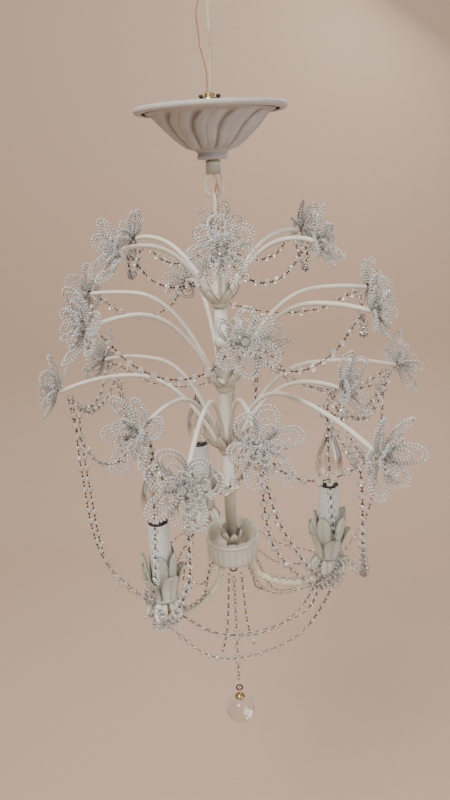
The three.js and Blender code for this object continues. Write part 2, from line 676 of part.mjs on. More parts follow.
function longGarland() {
  const stops = LONG_STRAND.map(({ cup, arm }) => {
    if (cup) return [candleAngles[cup[0]] + cup[1], CANDLE_RING_R + cup[2], CUP_Z + 6];
    const [angle, reach, fall] = TIERS.lower.arms[arm];
    return [angle, reach - LONG_INSET, TIERS.lower.apexZ - fall - ARM_R - BEAD_R - LONG_BELOW];
  });
  const points = [];
  stops.forEach((stop, i) => {
    const next = stops[(i + 1) % stops.length];
    const [here, there] = [LONG_STRAND[i], LONG_STRAND[(i + 1) % stops.length]];
    points.push(polar(...stop));
    if (here.cup && there.cup) return;
    if (!here.cup && !there.cup) {
      points.push(...swag(stop, next, LONG_SAG));
      return;
    }
    // A strand hangs nearly straight down from the arm and curves in to the cup.
    const turn = ((next[0] - stop[0] + 540) % 360) - 180;
    for (const [along, down] of here.cup ? [[0.5, 0.1], [0.9, 0.5]] : [[0.1, 0.5], [0.5, 0.9]]) {
      const r = stop[1] + (next[1] - stop[1]) * along;
      points.push(polar(stop[0] + turn * along, r, stop[2] + (next[2] - stop[2]) * down));
    }
  });
  add('long_garland', closedWire(points, BEAD_R, 76, 4), 'beads');
}

// Swags between the candle cups that meet low under the hub.
function hubGarland() {
  const points = [];
  const low = hubBottomZ - HUB_SWAG_DROP;
  for (const angle of candleAngles) {
    points.push(polar(angle, CANDLE_RING_R + 10, CUP_Z - 26));
    points.push(polar(angle + 24, CANDLE_RING_R * 0.86, low + 26));
    points.push(polar(angle + 60, CANDLE_RING_R * 0.6, low));
    points.push(polar(angle + 96, CANDLE_RING_R * 0.86, low + 26));
  }
  add('hub_garland', closedWire(points, BEAD_R, 36, 4), 'beads');
}

const strandTopZ = ringHingeZ + 2 * RING_WIRE_R + 0.5;
const ballHingeZ = strandTopZ - STRAND_LENGTH;

function drop() {
  const top = strandTopZ - 2 * RING_R + 0.5;
  const low = ballHingeZ + 2 * RING_R - 0.5;
  const pitch = (top - low) / STRAND_BEADS;
  const profile = [[0, low]];
  for (let i = 0; i < STRAND_BEADS; i++) {
    const z = low + pitch * (i + 0.5);
    const r = i % 3 === 1 ? 4.6 : 3.4;
    profile.push([0.9, z - pitch * 0.42], [r, z - r * 0.4], [r, z + r * 0.4], [0.9, z + pitch * 0.42]);
  }
  profile.push([0, top]);
  const rings = [smallRing(strandTopZ - RING_R), smallRing(ballHingeZ + RING_R)];
  add('drop_strand', joined([turned(profile, 6), ...rings]), 'beads');

  const capRingTop = ballHingeZ + 2 * RING_WIRE_R + 0.5;
  const capLow = capRingTop - 2 * RING_R - 5;
  const cap = turned([
    [0, capLow], [6.5, capLow], [5, capLow + 3], [2, capLow + 5.6], [0, capLow + 5.6],
  ], 12);
  add('ball_cap', joined([cap, smallRing(capRingTop - RING_R).rotateZ(Math.PI / 2)]), 'brass');
  const ballZ = capLow - GAP - BALL_R;
  const ball = new THREE.SphereGeometry(BALL_R, 16, 10).rotateX(Math.PI / 2).translate(0, 0, ballZ);
  add('crystal_ball', ball, 'glass');
}

// ---- Assembly -----------------------------------------------------------------------------------

canopy();
strap();
nippleAndNut();
chain();
chainCord();
supply();
stem();
for (const name of Object.keys(TIERS)) tierOf(name);
flowers();
hub();
finial();
for (let i = 0; i < CANDLES; i++) {
  candleArm(i);
  leafCup(i);
  candle(i);
}
tierGarland('upper', UPPER_SAG);
tierGarland('middle', MIDDLE_SAG);
tierGarland('lower', LOWER_SAG);
longGarland();
hubGarland();
drop();

export default chandelier;
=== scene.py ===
"""The looks of a small beaded chandelier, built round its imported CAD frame.

Metres, +Z up, origin at the centre of the canopy rim's top plane. Angles run round the stem from
the front (-Y), positive towards +X, as they do in the CAD model.
"""

import math
import random

import bpy
import numpy as np
from mathutils import Matrix, Vector


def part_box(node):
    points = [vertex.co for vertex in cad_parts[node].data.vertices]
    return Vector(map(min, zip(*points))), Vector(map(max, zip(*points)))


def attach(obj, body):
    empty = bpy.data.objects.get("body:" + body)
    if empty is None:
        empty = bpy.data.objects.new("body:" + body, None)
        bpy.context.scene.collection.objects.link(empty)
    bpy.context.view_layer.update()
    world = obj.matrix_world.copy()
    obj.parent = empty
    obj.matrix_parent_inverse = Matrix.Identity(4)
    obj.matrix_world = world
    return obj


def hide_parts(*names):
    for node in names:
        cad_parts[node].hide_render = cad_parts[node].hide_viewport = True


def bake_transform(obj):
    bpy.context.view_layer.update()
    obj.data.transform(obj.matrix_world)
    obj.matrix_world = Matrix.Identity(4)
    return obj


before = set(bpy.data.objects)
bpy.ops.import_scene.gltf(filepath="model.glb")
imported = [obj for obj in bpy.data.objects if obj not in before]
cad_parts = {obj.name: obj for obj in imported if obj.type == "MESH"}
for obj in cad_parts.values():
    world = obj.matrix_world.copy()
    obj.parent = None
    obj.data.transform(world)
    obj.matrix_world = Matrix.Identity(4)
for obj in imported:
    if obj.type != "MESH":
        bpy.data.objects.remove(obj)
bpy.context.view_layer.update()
MM = 0.001
TAU = 2 * math.pi

# ---- Driving dimensions, the same as the CAD model's ---------------------------------------------

GAP = 0.4 * MM
CANOPY_R = 72.5 * MM
CANOPY_DEPTH = 39 * MM
CANOPY_LIP = 5 * MM
CANOPY_COVE = 6.5 * MM
CANOPY_INSET = 14 * MM
NECK_R = 15 * MM
NECK_HEIGHT = 8 * MM
LINK_WIRE_R = 1.5 * MM
LINK_HALF_WIDTH = 8.5 * MM
LINK_HEIGHT = 25 * MM
LOOP_HUB_R = 7.2 * MM
LOOP_HUB_HEIGHT = 13 * MM
STEM_R = 6.5 * MM
COLLAR_WALL = 3.2 * MM
ARM_R = 2.3 * MM
BEAD_R = 2.6 * MM
RING_R = 4 * MM
RING_WIRE_R = 0.9 * MM
CANDLES = 3
FIRST_CANDLE_ANGLE = -41.5
CANDLE_RING_R = 113 * MM
CUP_Z = -481 * MM
CANDLE_ARM_R = 4 * MM
ARM_DIP = 34 * MM
SLEEVE_R = 11.25 * MM
FLOWER_TILT = 14
FLOWER_GAP = 0.15 * MM
GARLAND_INSET = 9 * MM
SAGS = {"upper": 26 * MM, "middle": 34 * MM, "lower": 46 * MM}
HUB_SWAG_DROP = 92 * MM
LONG_SAG = 22 * MM
CROWNS = {"upper": (6, 22), "middle": (6, 24), "lower": (8, 30)}  # leaves and their length in mm

# Each tier: collar height, highest point of its arms and the radius where they reach it, and its
# arms as (angle, reach, how far the tip hangs below the highest point).
TIERS = {
    "upper": (-183, -120, 88, [
        (2, 98, 3), (60, 104, 3), (118, 100, 2), (180, 98, 2), (240, 100, 2), (300, 104, 3)]),
    "middle": (-274, -181, 112, [
        (8, 130, 14), (62, 158, 5), (106, 168, 5), (195, 155, 5), (240, 172, 4), (307, 152, 4)]),
    "lower": (-348, -263, 102, [
        (10, 160, 16), (37, 212, 26), (64, 128, 4), (104, 205, 16), (163, 186, 18), (228, 202, 16),
        (264, 184, 18), (329, 150, 10), (350, 204, 30)]),
}
AXIS_R = 0.1 * MM  # where a turned profile ends at its axis
TIP_R = 0.01 * MM  # the same at the point of a bulb
CANDLE_ANGLES = [FIRST_CANDLE_ANGLE + 360 * i / CANDLES for i in range(CANDLES)]


# ---- Camera, floor and light ---------------------------------------------------------------------

def make_camera():
    data = bpy.data.cameras.new("camera")
    data.sensor_fit = "VERTICAL"
    data.sensor_height = 36
    data.lens = 28.8
    camera = bpy.data.objects.new("camera", data)
    bpy.context.scene.collection.objects.link(camera)
    camera.location = (0, -0.658, -0.054)
    pitch = math.radians(90 - 20)
    roll = math.radians(-2.9)
    camera.rotation_euler = (Matrix.Rotation(pitch, 3, "X") @ Matrix.Rotation(roll, 3, "Z")).to_euler()
    bpy.context.scene.camera = camera


def make_room():
    pale = bpy.data.materials.new("pale_floor")
    pale.use_nodes = True
    shader = pale.node_tree.nodes["Principled BSDF"]
    shader.inputs["Base Color"].default_value = (0.60, 0.44, 0.33, 1)
    shader.inputs["Roughness"].default_value = 0.9
    width, floor_z, wall_y, bend = 7.0, -1.15, 1.5, 0.5
    side_view = [(-width, floor_z), (wall_y - bend, floor_z)]
    for i in range(1, 13):
        a = math.pi / 2 * i / 12
        side_view.append((wall_y - bend + bend * math.sin(a), floor_z + bend - bend * math.cos(a)))
    side_view.append((wall_y, 2.2))
    verts = [(side * width, y, z) for y, z in side_view for side in (-1, 1)]
    faces = [(2 * i, 2 * i + 1, 2 * i + 3, 2 * i + 2) for i in range(len(side_view) - 1)]
    mesh = bpy.data.meshes.new("floor")
    mesh.from_pydata(verts, [], faces)
    mesh.shade_smooth()
    mesh.materials.append(pale)
    floor = bpy.data.objects.new("floor", mesh)
    bpy.context.scene.collection.objects.link(floor)


def area_light(name, location, target, size, power, colour):
    data = bpy.data.lights.new(name, "AREA")
    data.shape = "DISK"
    data.size = size
    data.energy = power
    data.color = colour
    lamp = bpy.data.objects.new(name, data)
    lamp.location = location
    lamp.rotation_euler = (Vector(target) - Vector(location)).to_track_quat("-Z", "Y").to_euler()
    bpy.context.scene.collection.objects.link(lamp)


def make_lights():
    middle = (0, 0, -0.35)
    area_light("key", (-0.7, -1.1, 1.25), middle, 0.8, 44, (1, 0.97, 0.92))
    area_light("fill", (1.5, -1.2, 0.1), middle, 1.2, 14, (0.96, 0.98, 1))
    area_light("rim", (0.7, 1.1, 0.7), middle, 0.8, 16, (1, 0.98, 0.95))
    world = bpy.data.worlds.new("studio")
    world.use_nodes = True
    world.node_tree.nodes["Background"].inputs["Color"].default_value = (0.95, 0.93, 0.9, 1)
    world.node_tree.nodes["Background"].inputs["Strength"].default_value = 0.42
    bpy.context.scene.world = world


# ---- Materials -----------------------------------------------------------------------------------

class Shader:
    """A node material with short calls to add and link nodes."""

    def __init__(self, name):
        self.material = bpy.data.materials.new(name)
        self.material.use_nodes = True
        self.tree = self.material.node_tree
        self.main = self.tree.nodes["Principled BSDF"]

    def node(self, kind, **values):
        made = self.tree.nodes.new(kind)
        for key, value in values.items():
            setattr(made, key, value)
        return made

    def link(self, output, socket):
        self.tree.links.new(output, socket)

    def set(self, **values):
        for key, value in values.items():
            self.main.inputs[key.replace("_", " ")].default_value = value

    def noise(self, scale, detail=4.0, roughness=0.6):
        where = self.node("ShaderNodeTexCoord")
        made = self.node("ShaderNodeTexNoise")
        made.inputs["Scale"].default_value = scale
        made.inputs["Detail"].default_value = detail
        made.inputs["Roughness"].default_value = roughness
        self.link(where.outputs["Object"], made.inputs["Vector"])
        return made.outputs["Fac"]

    def ramp(self, value, stops):
        made = self.node("ShaderNodeValToRGB")
        ramp = made.color_ramp
        while len(ramp.elements) < len(stops):
            ramp.elements.new(0.5)
        for element, (place, colour) in zip(ramp.elements, stops):
            element.position = place
            element.color = (*colour, 1)
        self.link(value, made.inputs["Fac"])
        return made.outputs["Color"]

    def mix(self, share, first, second):
        made = self.node("ShaderNodeMix", data_type="RGBA")
        self.link(share, made.inputs["Factor"])
        for value, socket in ((first, made.inputs[6]), (second, made.inputs[7])):
            if isinstance(value, tuple):
                socket.default_value = (*value, 1)
            else:
                self.link(value, socket)
        return made.outputs[2]

    def map_range(self, value, side, low, high):
        """value through a Map Range node whose side, From or To, runs from low to high."""
        made = self.node("ShaderNodeMapRange")
        made.inputs[side + " Min"].default_value = low
        made.inputs[side + " Max"].default_value = high
        self.link(value, made.inputs["Value"])
        return made.outputs["Result"]

    def colour(self, value):
        self.link(value, self.main.inputs["Base Color"])

    def gloss(self, noise, low, high):
        self.link(self.map_range(noise, "To", low, high), self.main.inputs["Roughness"])

    def bump(self, height, distance, strength=0.6):
        made = self.node("ShaderNodeBump")
        made.inputs["Strength"].default_value = strength
        made.inputs["Distance"].default_value = distance
        self.link(height, made.inputs["Height"])
        self.link(made.outputs["Normal"], self.main.inputs["Normal"])


def paint(name, light, shade, dirt, grain=900):
    """Old cream paint: patchy colour, brown painted shade in the hollows and grooves, dark specks of dirt, a
    fine uneven surface.
    """
    s = Shader(name)
    patches = s.ramp(s.noise(60, 6), [(0.3, shade), (0.7, light)])
    # A per-point mask of painted shade in grooves and leaf hollows, mixed towards the dark colour.
    attribute = s.node("ShaderNodeAttribute", attribute_name="dirt")
    # Painted shade: concave places, found by pointiness, are mixed towards the dark colour.
    pointed = s.map_range(s.node("ShaderNodeNewGeometry").outputs["Pointiness"], "From", 0.4, 0.5)
    hollow_shade = s.ramp(pointed, [(0.0, (1, 1, 1)), (1.0, (0, 0, 0))])
    specks = s.ramp(s.noise(420, 3), [(0.66, (0, 0, 0)), (0.72, (1, 1, 1))])
    first = s.mix(attribute.outputs["Fac"], patches, dirt)
    second = s.mix(hollow_shade, first, dirt)
    made = s.node("ShaderNodeMath", operation="MULTIPLY")
    made.inputs[1].default_value = 0.45
    s.link(specks, made.inputs[0])
    s.colour(s.mix(made.outputs[0], second, dirt))
    s.gloss(s.noise(90, 5), 0.42, 0.68)
    s.bump(s.noise(grain, 4), 0.0004, 0.35)
    return s.material


def metal(name, light, dark, rough=(0.22, 0.5)):
    s = Shader(name)
    s.set(Metallic=1.0)
    s.colour(s.ramp(s.noise(150, 6), [(0.3, dark), (0.65, light)]))
    s.gloss(s.noise(255, 5), *rough)
    s.bump(s.noise(900, 3), 0.0002, 0.25)
    return s.material


def glass(name, tint, clear, rough, scale=300, ior=1.5):
    """Clear glass with a little haze: clear is the share of light that goes through."""
    s = Shader(name)
    s.colour(s.ramp(s.noise(scale, 3), [(0.25, tuple(0.9 * c for c in tint)), (0.7, tint)]))
    s.set(Transmission_Weight=clear, IOR=ior)
    s.gloss(s.noise(scale * 2, 2), rough, rough * 2 + 0.02)
    return s.material


def plastic(name, light, dark, rough=0.4, clear=0.0):
    s = Shader(name)
    s.colour(s.ramp(s.noise(130, 5), [(0.35, dark), (0.65, light)]))
    s.set(Roughness=rough, Transmission_Weight=clear)
    s.bump(s.noise(700, 3), 0.0002, 0.2)
    return s.material


# Dark brown used for painted shade in hollows and grooves, and for specks of dirt.
DIRT_AND_SHADE = (0.20, 0.14, 0.09)
MATERIALS = {
    "cream": paint("cream_paint", (0.80, 0.76, 0.66), (0.68, 0.64, 0.54), DIRT_AND_SHADE),
    # Painted shade: the whole canopy shell takes this darker, greyer copy of the cream paint.
    "canopy": paint("shaded_canopy_paint", (0.60, 0.57, 0.555), (0.47, 0.44, 0.425), (0.25, 0.215, 0.20)),
    "leaf": paint("leaf_paint", (0.80, 0.80, 0.70), (0.68, 0.69, 0.59), (0.24, 0.21, 0.17)),
    "rope": paint("rope_arm_paint", (0.82, 0.76, 0.58), (0.70, 0.62, 0.44), DIRT_AND_SHADE),
    "sleeve": paint("sleeve_paint", (0.80, 0.81, 0.78), (0.72, 0.73, 0.70), (0.4, 0.34, 0.27), 500),
    "brass": metal("dull_brass", (0.62, 0.47, 0.22), (0.36, 0.26, 0.12)),
    "bronze": metal("bronze_wire", (0.115, 0.085, 0.065), (0.055, 0.043, 0.036), (0.35, 0.6)),
    "copper": metal("copper_wire", (0.72, 0.36, 0.20), (0.45, 0.20, 0.11), (0.25, 0.45)),
    "seed": glass("seed_bead_glass", (1.0, 0.98, 0.94), 0.55, 0.03),
    "crystal": glass("crystal_bead_glass", (1.0, 0.99, 0.97), 0.88, 0.01),
    "ball": glass("ball_glass", (1.0, 1.0, 1.0), 1.0, 0.0, 40, 1.52),
    "bulb": glass("bulb_glass", (1.0, 0.99, 0.97), 1.0, 0.0, 40, 1.45),
    "socket": plastic("socket_phenolic", (0.07, 0.05, 0.04), (0.03, 0.02, 0.02), 0.35),
    "jacket": plastic("clear_cord_jacket", (0.86, 0.74, 0.60), (0.66, 0.48, 0.34), 0.18, 0.35),
}


# ---- Mesh helpers --------------------------------------------------------------------------------

class Build:
    """Gathers vertices and faces, each face with a material, into one mesh."""

    def __init__(self):
        self.verts, self.faces, self.marks, self.flat, self.dirt = [], [], [], [], []
        self.count = 0

    def add(self, verts, faces, mark=0, flat=False, dirt=0.0):
        verts = np.asarray(verts, dtype=float)
        self.verts.append(verts)
        self.dirt.append(np.broadcast_to(np.asarray(dirt, dtype=float), (len(verts),)))
        for face in faces:
            self.faces.append([i + self.count for i in face])
        self.marks += [mark] * len(faces)
        self.flat += [flat] * len(faces)
        self.count += len(verts)

    def add_copies(self, template, places, mark=0):
        """template: (verts, faces, flat). places: (position, axis, radius, stretch along axis)."""
        verts, faces, flat = template
        for at, axis, radius, stretch in places:
            z = Vector(axis).normalized()
            x = z.orthogonal().normalized()
            y = z.cross(x)
            basis = np.array([x * radius, y * radius, z * radius * stretch])
            self.add(verts @ basis + np.array(at), faces, mark, flat)

    def finish(self, name, materials, body=None, replaces=(), slot=None):
        """The gathered mesh as one piece. It rides on body, if it has one."""
        mesh = bpy.data.meshes.new(name)
        mesh.from_pydata(np.concatenate(self.verts).tolist(), [], self.faces)
        mesh.polygons.foreach_set("material_index", self.marks)
        mesh.polygons.foreach_set("use_smooth", [not f for f in self.flat])
        for key in materials:
            mesh.materials.append(MATERIALS[key])
        # A per-point mask that darkens the paint: painted shade in grooves and hollows, and darker leaf edges
        # and tips.
        layer = mesh.attributes.new("dirt", "FLOAT", "POINT")
        layer.data.foreach_set("value", np.concatenate(self.dirt))
        mesh.validate()
        mesh.update()
        made = bpy.data.objects.new(name, mesh)
        bpy.context.scene.collection.objects.link(made)
        if body:
            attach(made, body)
        if replaces:
            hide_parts(*replaces)
        return made


def rings_to_faces(rings, around, closed_ends=True, closed_path=False):
    faces = []
    last = rings if closed_path else rings - 1
    for i in range(last):
        a, b = i * around, ((i + 1) % rings) * around
        for j in range(around):
            k = (j + 1) % around
            faces.append([a + j, a + k, b + k, b + j])
    if closed_ends and not closed_path:
        faces.append(list(reversed(range(around))))
        faces.append([(rings - 1) * around + j for j in range(around)])
    return faces


def tube(points, radius, sides=12, closed=False, shape=None):
    """A tube along points. radius is one number or one for each point; shape(i, angle) scales it."""
    points = [Vector(p) for p in points]
    count = len(points)
    radii = [radius] * count if isinstance(radius, (int, float)) else radius
    tangents = []
    for i in range(count):
        before = points[i - 1] if i or closed else points[i]
        after = points[(i + 1) % count] if i < count - 1 or closed else points[i]
        tangents.append((after - before).normalized())
    normal = tangents[0].orthogonal().normalized()
    normals = [normal]
    for i in range(1, count):
        turn = tangents[i - 1].rotation_difference(tangents[i])
        normal = (turn @ normal).normalized()
        normals.append(normal)
    slip = 0.0
    if closed:
        back = tangents[-1].rotation_difference(tangents[0]) @ normals[-1]
        slip = math.atan2(back.cross(normals[0]).dot(tangents[0]), back.dot(normals[0]))
    verts = []
    for i in range(count):
        turned = normals[i].copy()
        turned.rotate(Matrix.Rotation(slip * i / count, 3, tangents[i]))
        other = tangents[i].cross(turned)
        for j in range(sides):
            a = TAU * j / sides
            r = radii[i] * (shape(i, a) if shape else 1)
            verts.append(points[i] + (turned * math.cos(a) + other * math.sin(a)) * r)
    return verts, rings_to_faces(count, sides, True, closed)


def turned(profile, sides=48, closed=False, shift=None, caps=True):
    """A turned shape round Z. shift(angle, r, z) may move each point's radius and height."""
    verts = []
    for r, z in profile:
        for j in range(sides):
            a = TAU * j / sides
            rr, zz = shift(a, r, z) if shift else (r, z)
            verts.append((rr * math.cos(a), rr * math.sin(a), zz))
    faces = rings_to_faces(len(profile), sides, caps and not closed, closed)
    return verts, [list(reversed(f)) for f in faces]


def heights(node):
    """The lowest and the highest point of a CAD node."""
    (_, _, low), (_, _, high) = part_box(node)
    return low, high


def outline(radius, height, *pairs):
    """Points of a turned profile, each given as millimetres out from radius and up from height."""
    return [(radius + x * MM, height + z * MM) for x, z in pairs]


def turned_piece(name, profile, sides, finish, body, replaces, slot, closed=True):
    build = Build()
    build.add(*turned(profile, sides, closed=closed, caps=False))
    build.finish(name, [finish], body, replaces, slot)


def smooth_line(points, step, closed=False):
    """Points about step apart on a centripetal Catmull-Rom curve through points."""
    pts = [Vector(p) for p in points]
    count = len(pts)
    spans = count if closed else count - 1
    line = []
    for i in range(spans):
        p1, p2 = pts[i], pts[(i + 1) % count]
        p0 = pts[i - 1] if i or closed else p1 * 2 - p2
        p3 = pts[(i + 2) % count] if i + 2 < count or closed else p2 * 2 - p1
        knots = [0.0]
        for a, b in ((p0, p1), (p1, p2), (p2, p3)):
            knots.append(knots[-1] + max((b - a).length, 1e-9) ** 0.5)
        pieces = max(2, int((p2 - p1).length / step * 1.6))
        for n in range(pieces):
            t = knots[1] + (knots[2] - knots[1]) * n / pieces
            a1 = (p0 * (knots[1] - t) + p1 * (t - knots[0])) / (knots[1] - knots[0])
            a2 = (p1 * (knots[2] - t) + p2 * (t - knots[1])) / (knots[2] - knots[1])
            a3 = (p2 * (knots[3] - t) + p3 * (t - knots[2])) / (knots[3] - knots[2])
            b1 = (a1 * (knots[2] - t) + a2 * (t - knots[0])) / (knots[2] - knots[0])
            b2 = (a2 * (knots[3] - t) + a3 * (t - knots[1])) / (knots[3] - knots[1])
            line.append((b1 * (knots[2] - t) + b2 * (t - knots[1])) / (knots[2] - knots[1]))
    if not closed:
        line.append(pts[-1].copy())
    return line


def evenly(line, pitch, closed=False):
    """(point, tangent) pairs evenly spaced, about pitch apart, along a line of points."""
    pts = line + [line[0]] if closed else line
    lengths = [0.0]
    for a, b in zip(pts, pts[1:]):
        lengths.append(lengths[-1] + (b - a).length)
    count = max(2, round(lengths[-1] / pitch))
    found, at = [], 0
    for n in range(count if closed else count + 1):
        want = lengths[-1] * n / count
        while at < len(pts) - 2 and lengths[at + 1] < want:
            at += 1
        share = (want - lengths[at]) / max(lengths[at + 1] - lengths[at], 1e-9)
        found.append((pts[at].lerp(pts[at + 1], min(share, 1)), (pts[at + 1] - pts[at]).normalized()))
    return found


def polar(degrees, r, z):
    a = math.radians(degrees)
    return Vector((r * math.sin(a), -r * math.cos(a), z))


def round_template(around, rings):
    """A smooth ball of radius 1, its axis along Z."""
    verts = [(0, 0, -1)]
    for i in range(1, rings):
        a = math.pi * i / rings
        for j in range(around):
            b = TAU * j / around
            verts.append((math.sin(a) * math.cos(b), math.sin(a) * math.sin(b), -math.cos(a)))
    verts.append((0, 0, 1))
    top = len(verts) - 1
    faces = []
    for j in range(around):
        k = (j + 1) % around
        faces.append([0, 1 + k, 1 + j])
        for i in range(rings - 2):
            a, b = 1 + i * around, 1 + (i + 1) * around
            faces.append([a + j, a + k, b + k, b + j])
        faces.append([top, top - around + j, top - around + k])
    return np.array(verts), faces, False


def faceted_template():
    """A cut crystal bead: a girdle and sloping facets, its axis along Z."""
    around = 8
    verts = []
    for r, z, half in ((0.38, -0.86, 0), (0.82, -0.5, 1), (1, 0, 0), (0.82, 0.5, 1), (0.38, 0.86, 0)):
        for j in range(around):
            a = TAU * (j + 0.5 * half) / around
            verts.append((r * math.cos(a), r * math.sin(a), z))
    faces = []
    for i in range(4):
        a, b = i * around, (i + 1) * around
        for j in range(around):
            k = (j + 1) % around
            if i % 2 == 0:
                faces += [[a + j, a + k, b + j], [a + k, b + k, b + j]]
            else:
                faces += [[a + j, b + k, b + j], [a + j, a + k, b + k]]
    faces.append(list(reversed(range(around))))
    faces.append([4 * around + j for j in range(around)])
    return np.array(verts), faces, True


SEED = round_template(7, 4)
ROUND = round_template(14, 9)
CUT = faceted_template()


# ---- Cords ---------------------------------------------------------------------------------------

def cord_curve(name, points, radius, material, body, replaces):
    data = bpy.data.curves.new(name, "CURVE")
    data.dimensions = "3D"
    data.bevel_depth = radius
    data.bevel_resolution = 3
    data.use_fill_caps = True
    spline = data.splines.new("POLY")
    spline.points.add(len(points) - 1)
    for point, at in zip(spline.points, points):
        point.co = (*at, 1)
    data.materials.append(MATERIALS[material])
    made = bpy.data.objects.new(name, data)
    bpy.context.scene.collection.objects.link(made)
    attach(made, body)
    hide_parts(*replaces)
    return made


CORD_R = 1.5 * MM
GROUND_R = 0.65 * MM
CORD_RISE = 104 * MM
CORD_LOOP_R = 8 * MM
CORD_START = 11.4 * MM


def make_cords():
    route = [Vector((x * MM, 0, z)) for x, z in (
        (1.4, CORD_START), (1.4, CORD_START + 9 * MM), (2.2, 40 * MM), (2.6, 66 * MM),
        (1, CORD_RISE - 12 * MM))]
    for i in range(9):
        a = -0.8 * math.pi - i / 8 * 1.45 * math.pi
        height = CORD_RISE + 1.2 * CORD_LOOP_R * (1 + math.sin(a))
        route.append(Vector((CORD_LOOP_R * math.cos(a), 0, height)))
    route += [Vector((4.6 * MM, 0, CORD_RISE - 6 * MM)), Vector((4.8 * MM, 0, CORD_RISE - 16 * MM))]
    line = smooth_line(route, 2 * MM)
    cord = cord_curve("supply_cord", line, CORD_R, "jacket", "ceiling_fitting", ["supply_cord"])
    tie = Build()
    turns, height = 4, 9 * MM
    wrap = []
    for i in range(turns * 16 + 1):
        a = TAU * i / 16
        wrap.append(Vector((2.6 * MM + 4.8 * MM * math.cos(a), 2.4 * MM * math.sin(a),
                            CORD_RISE - 15 * MM + height * i / (turns * 16))))
    tie.add(*tube(wrap, 0.7 * MM, 8))
    knot = tie.finish("cord_tie", ["bronze"], "ceiling_fitting", slot="copper")

    waves = [(-1.9, 0, CORD_START / MM), (-1.9, 0, CORD_START / MM + 5), (-1.4, -0.8, 26), (-3.4, -1.6, 38),
             (-6.4, -2, 50), (-7.2, -2.2, 62), (-8.4, -2.4, 74), (-6.6, -3, 84), (-3, -3.2, 92),
             (-1.4, -3.2, 100)]
    line = smooth_line([Vector(p) * MM for p in waves], 1.5 * MM)
    wire = cord_curve("ground_wire", line, GROUND_R, "copper", "ceiling_fitting", ["ground_wire"])


# ---- Canopy, strap and nipple --------------------------------------------------------------------

canopy_bottom = -CANOPY_DEPTH - NECK_HEIGHT


def bowl_radius(share):
    inner = NECK_R + 4 * MM
    cove = max(0.0, 1 - share / 0.12) ** 2
    return inner + (CANOPY_R - CANOPY_INSET - inner) * (1 - share) ** 0.72 + CANOPY_COVE * cove


def leaf_relief(angle, share):
    """Swirled lobed leaves on the bowl: 1 on a leaf's crown, 0 in the groove between two."""
    leaves = 11
    lobes = 0.05 * abs(math.sin(share * 3.5 * math.pi)) * (1 - share)
    u = (angle / TAU * leaves + 0.75 * share + 0.15 * math.sin(share * 5)) % 1
    edge = min(1.0, max(0.0, (min(u, 1 - u) - 0.012 - lobes) / 0.16))
    crown = edge ** 0.7 * (0.75 + 0.25 * math.sin(math.pi * u))
    rib = 0.22 * math.exp(-((u - 0.5) / 0.05) ** 2)
    fade = min(1, share / 0.10) * min(1, (1 - share) / 0.08)
    return (crown - rib) * fade


def make_canopy():
    build = Build()
    sides, steps, last_share = 336, 60, 0.96
    sunk, relief_depth = 3.4 * MM, 3.2 * MM
    slope = CANOPY_DEPTH - CANOPY_LIP
    verts, dirt = [], []
    for i in range(steps + 1):
        share = i / steps * last_share
        fade = min(1, share / 0.10) * min(1, (1 - share) / 0.08)
        for j in range(sides):
            a = TAU * j / sides
            relief = leaf_relief(a, share)
            r = bowl_radius(share) - sunk + relief_depth * relief
            verts.append((r * math.cos(a), r * math.sin(a), -CANOPY_LIP - share * slope))
            # Painted shade in the grooves between the leaves: the lower the relief, the darker.
            dirt.append(max(0.0, 0.8 - 1.15 * relief) * fade)
    build.add(verts, [list(reversed(f)) for f in rings_to_faces(steps + 1, sides, False)], dirt=dirt)
    bore, floor = 5.4 * MM, -CANOPY_DEPTH + 3.6 * MM
    shell = outline(CANOPY_R, -CANOPY_LIP, (-7.2, 0), (-3.2, -0.6), (-1.4, 0.1), (-0.3, 1.3), (0, 2.4))
    shell += outline(CANOPY_R, 0, (0, -0.8), (-0.4, -0.15), (-1.2, 0), (-3, 0), (-3.4, -1))
    shell += [(bowl_radius(s) - 4.8 * MM, -CANOPY_LIP - s * slope + 0.6 * MM)
              for s in (0.0, 0.1, 0.2, 0.3, 0.4, 0.5, 0.6, 0.7, 0.8, 0.9, last_share)]
    shell += [(NECK_R, floor), (bore, floor)]
    build.add(*turned(shell[::-1], 112, caps=False))
    neck = [(bowl_radius(last_share) - sunk, -CANOPY_LIP - last_share * slope)]
    neck += outline(NECK_R, -CANOPY_DEPTH, (1.2, 0), (0.9, -0.9), (-0.8, -1.6))
    neck += outline(NECK_R, canopy_bottom, (-0.6, 3.4), (0, 2.8), (0, 1.4), (-1.6, 0.5), (-2.4, 0))
    build.add(*turned(neck + [(bore, canopy_bottom), (bore, floor)], 64, caps=False))
    build.finish("canopy_shell", ["canopy"], "ceiling_fitting", ["canopy"], "cream_paint")


def thread(radius, low, high, pitch, depth, per_turn=4):
    """A threaded rod's side, as a turned profile that rises and falls."""
    profile = [(radius - depth, low)]
    count = max(2, round((high - low) / pitch * per_turn))
    for i in range(count + 1):
        z = low + (high - low) * i / count
        profile.append((radius - depth * (0.5 + 0.5 * math.cos(TAU * i / per_turn)), z))
    return profile + [(radius - depth, high)]


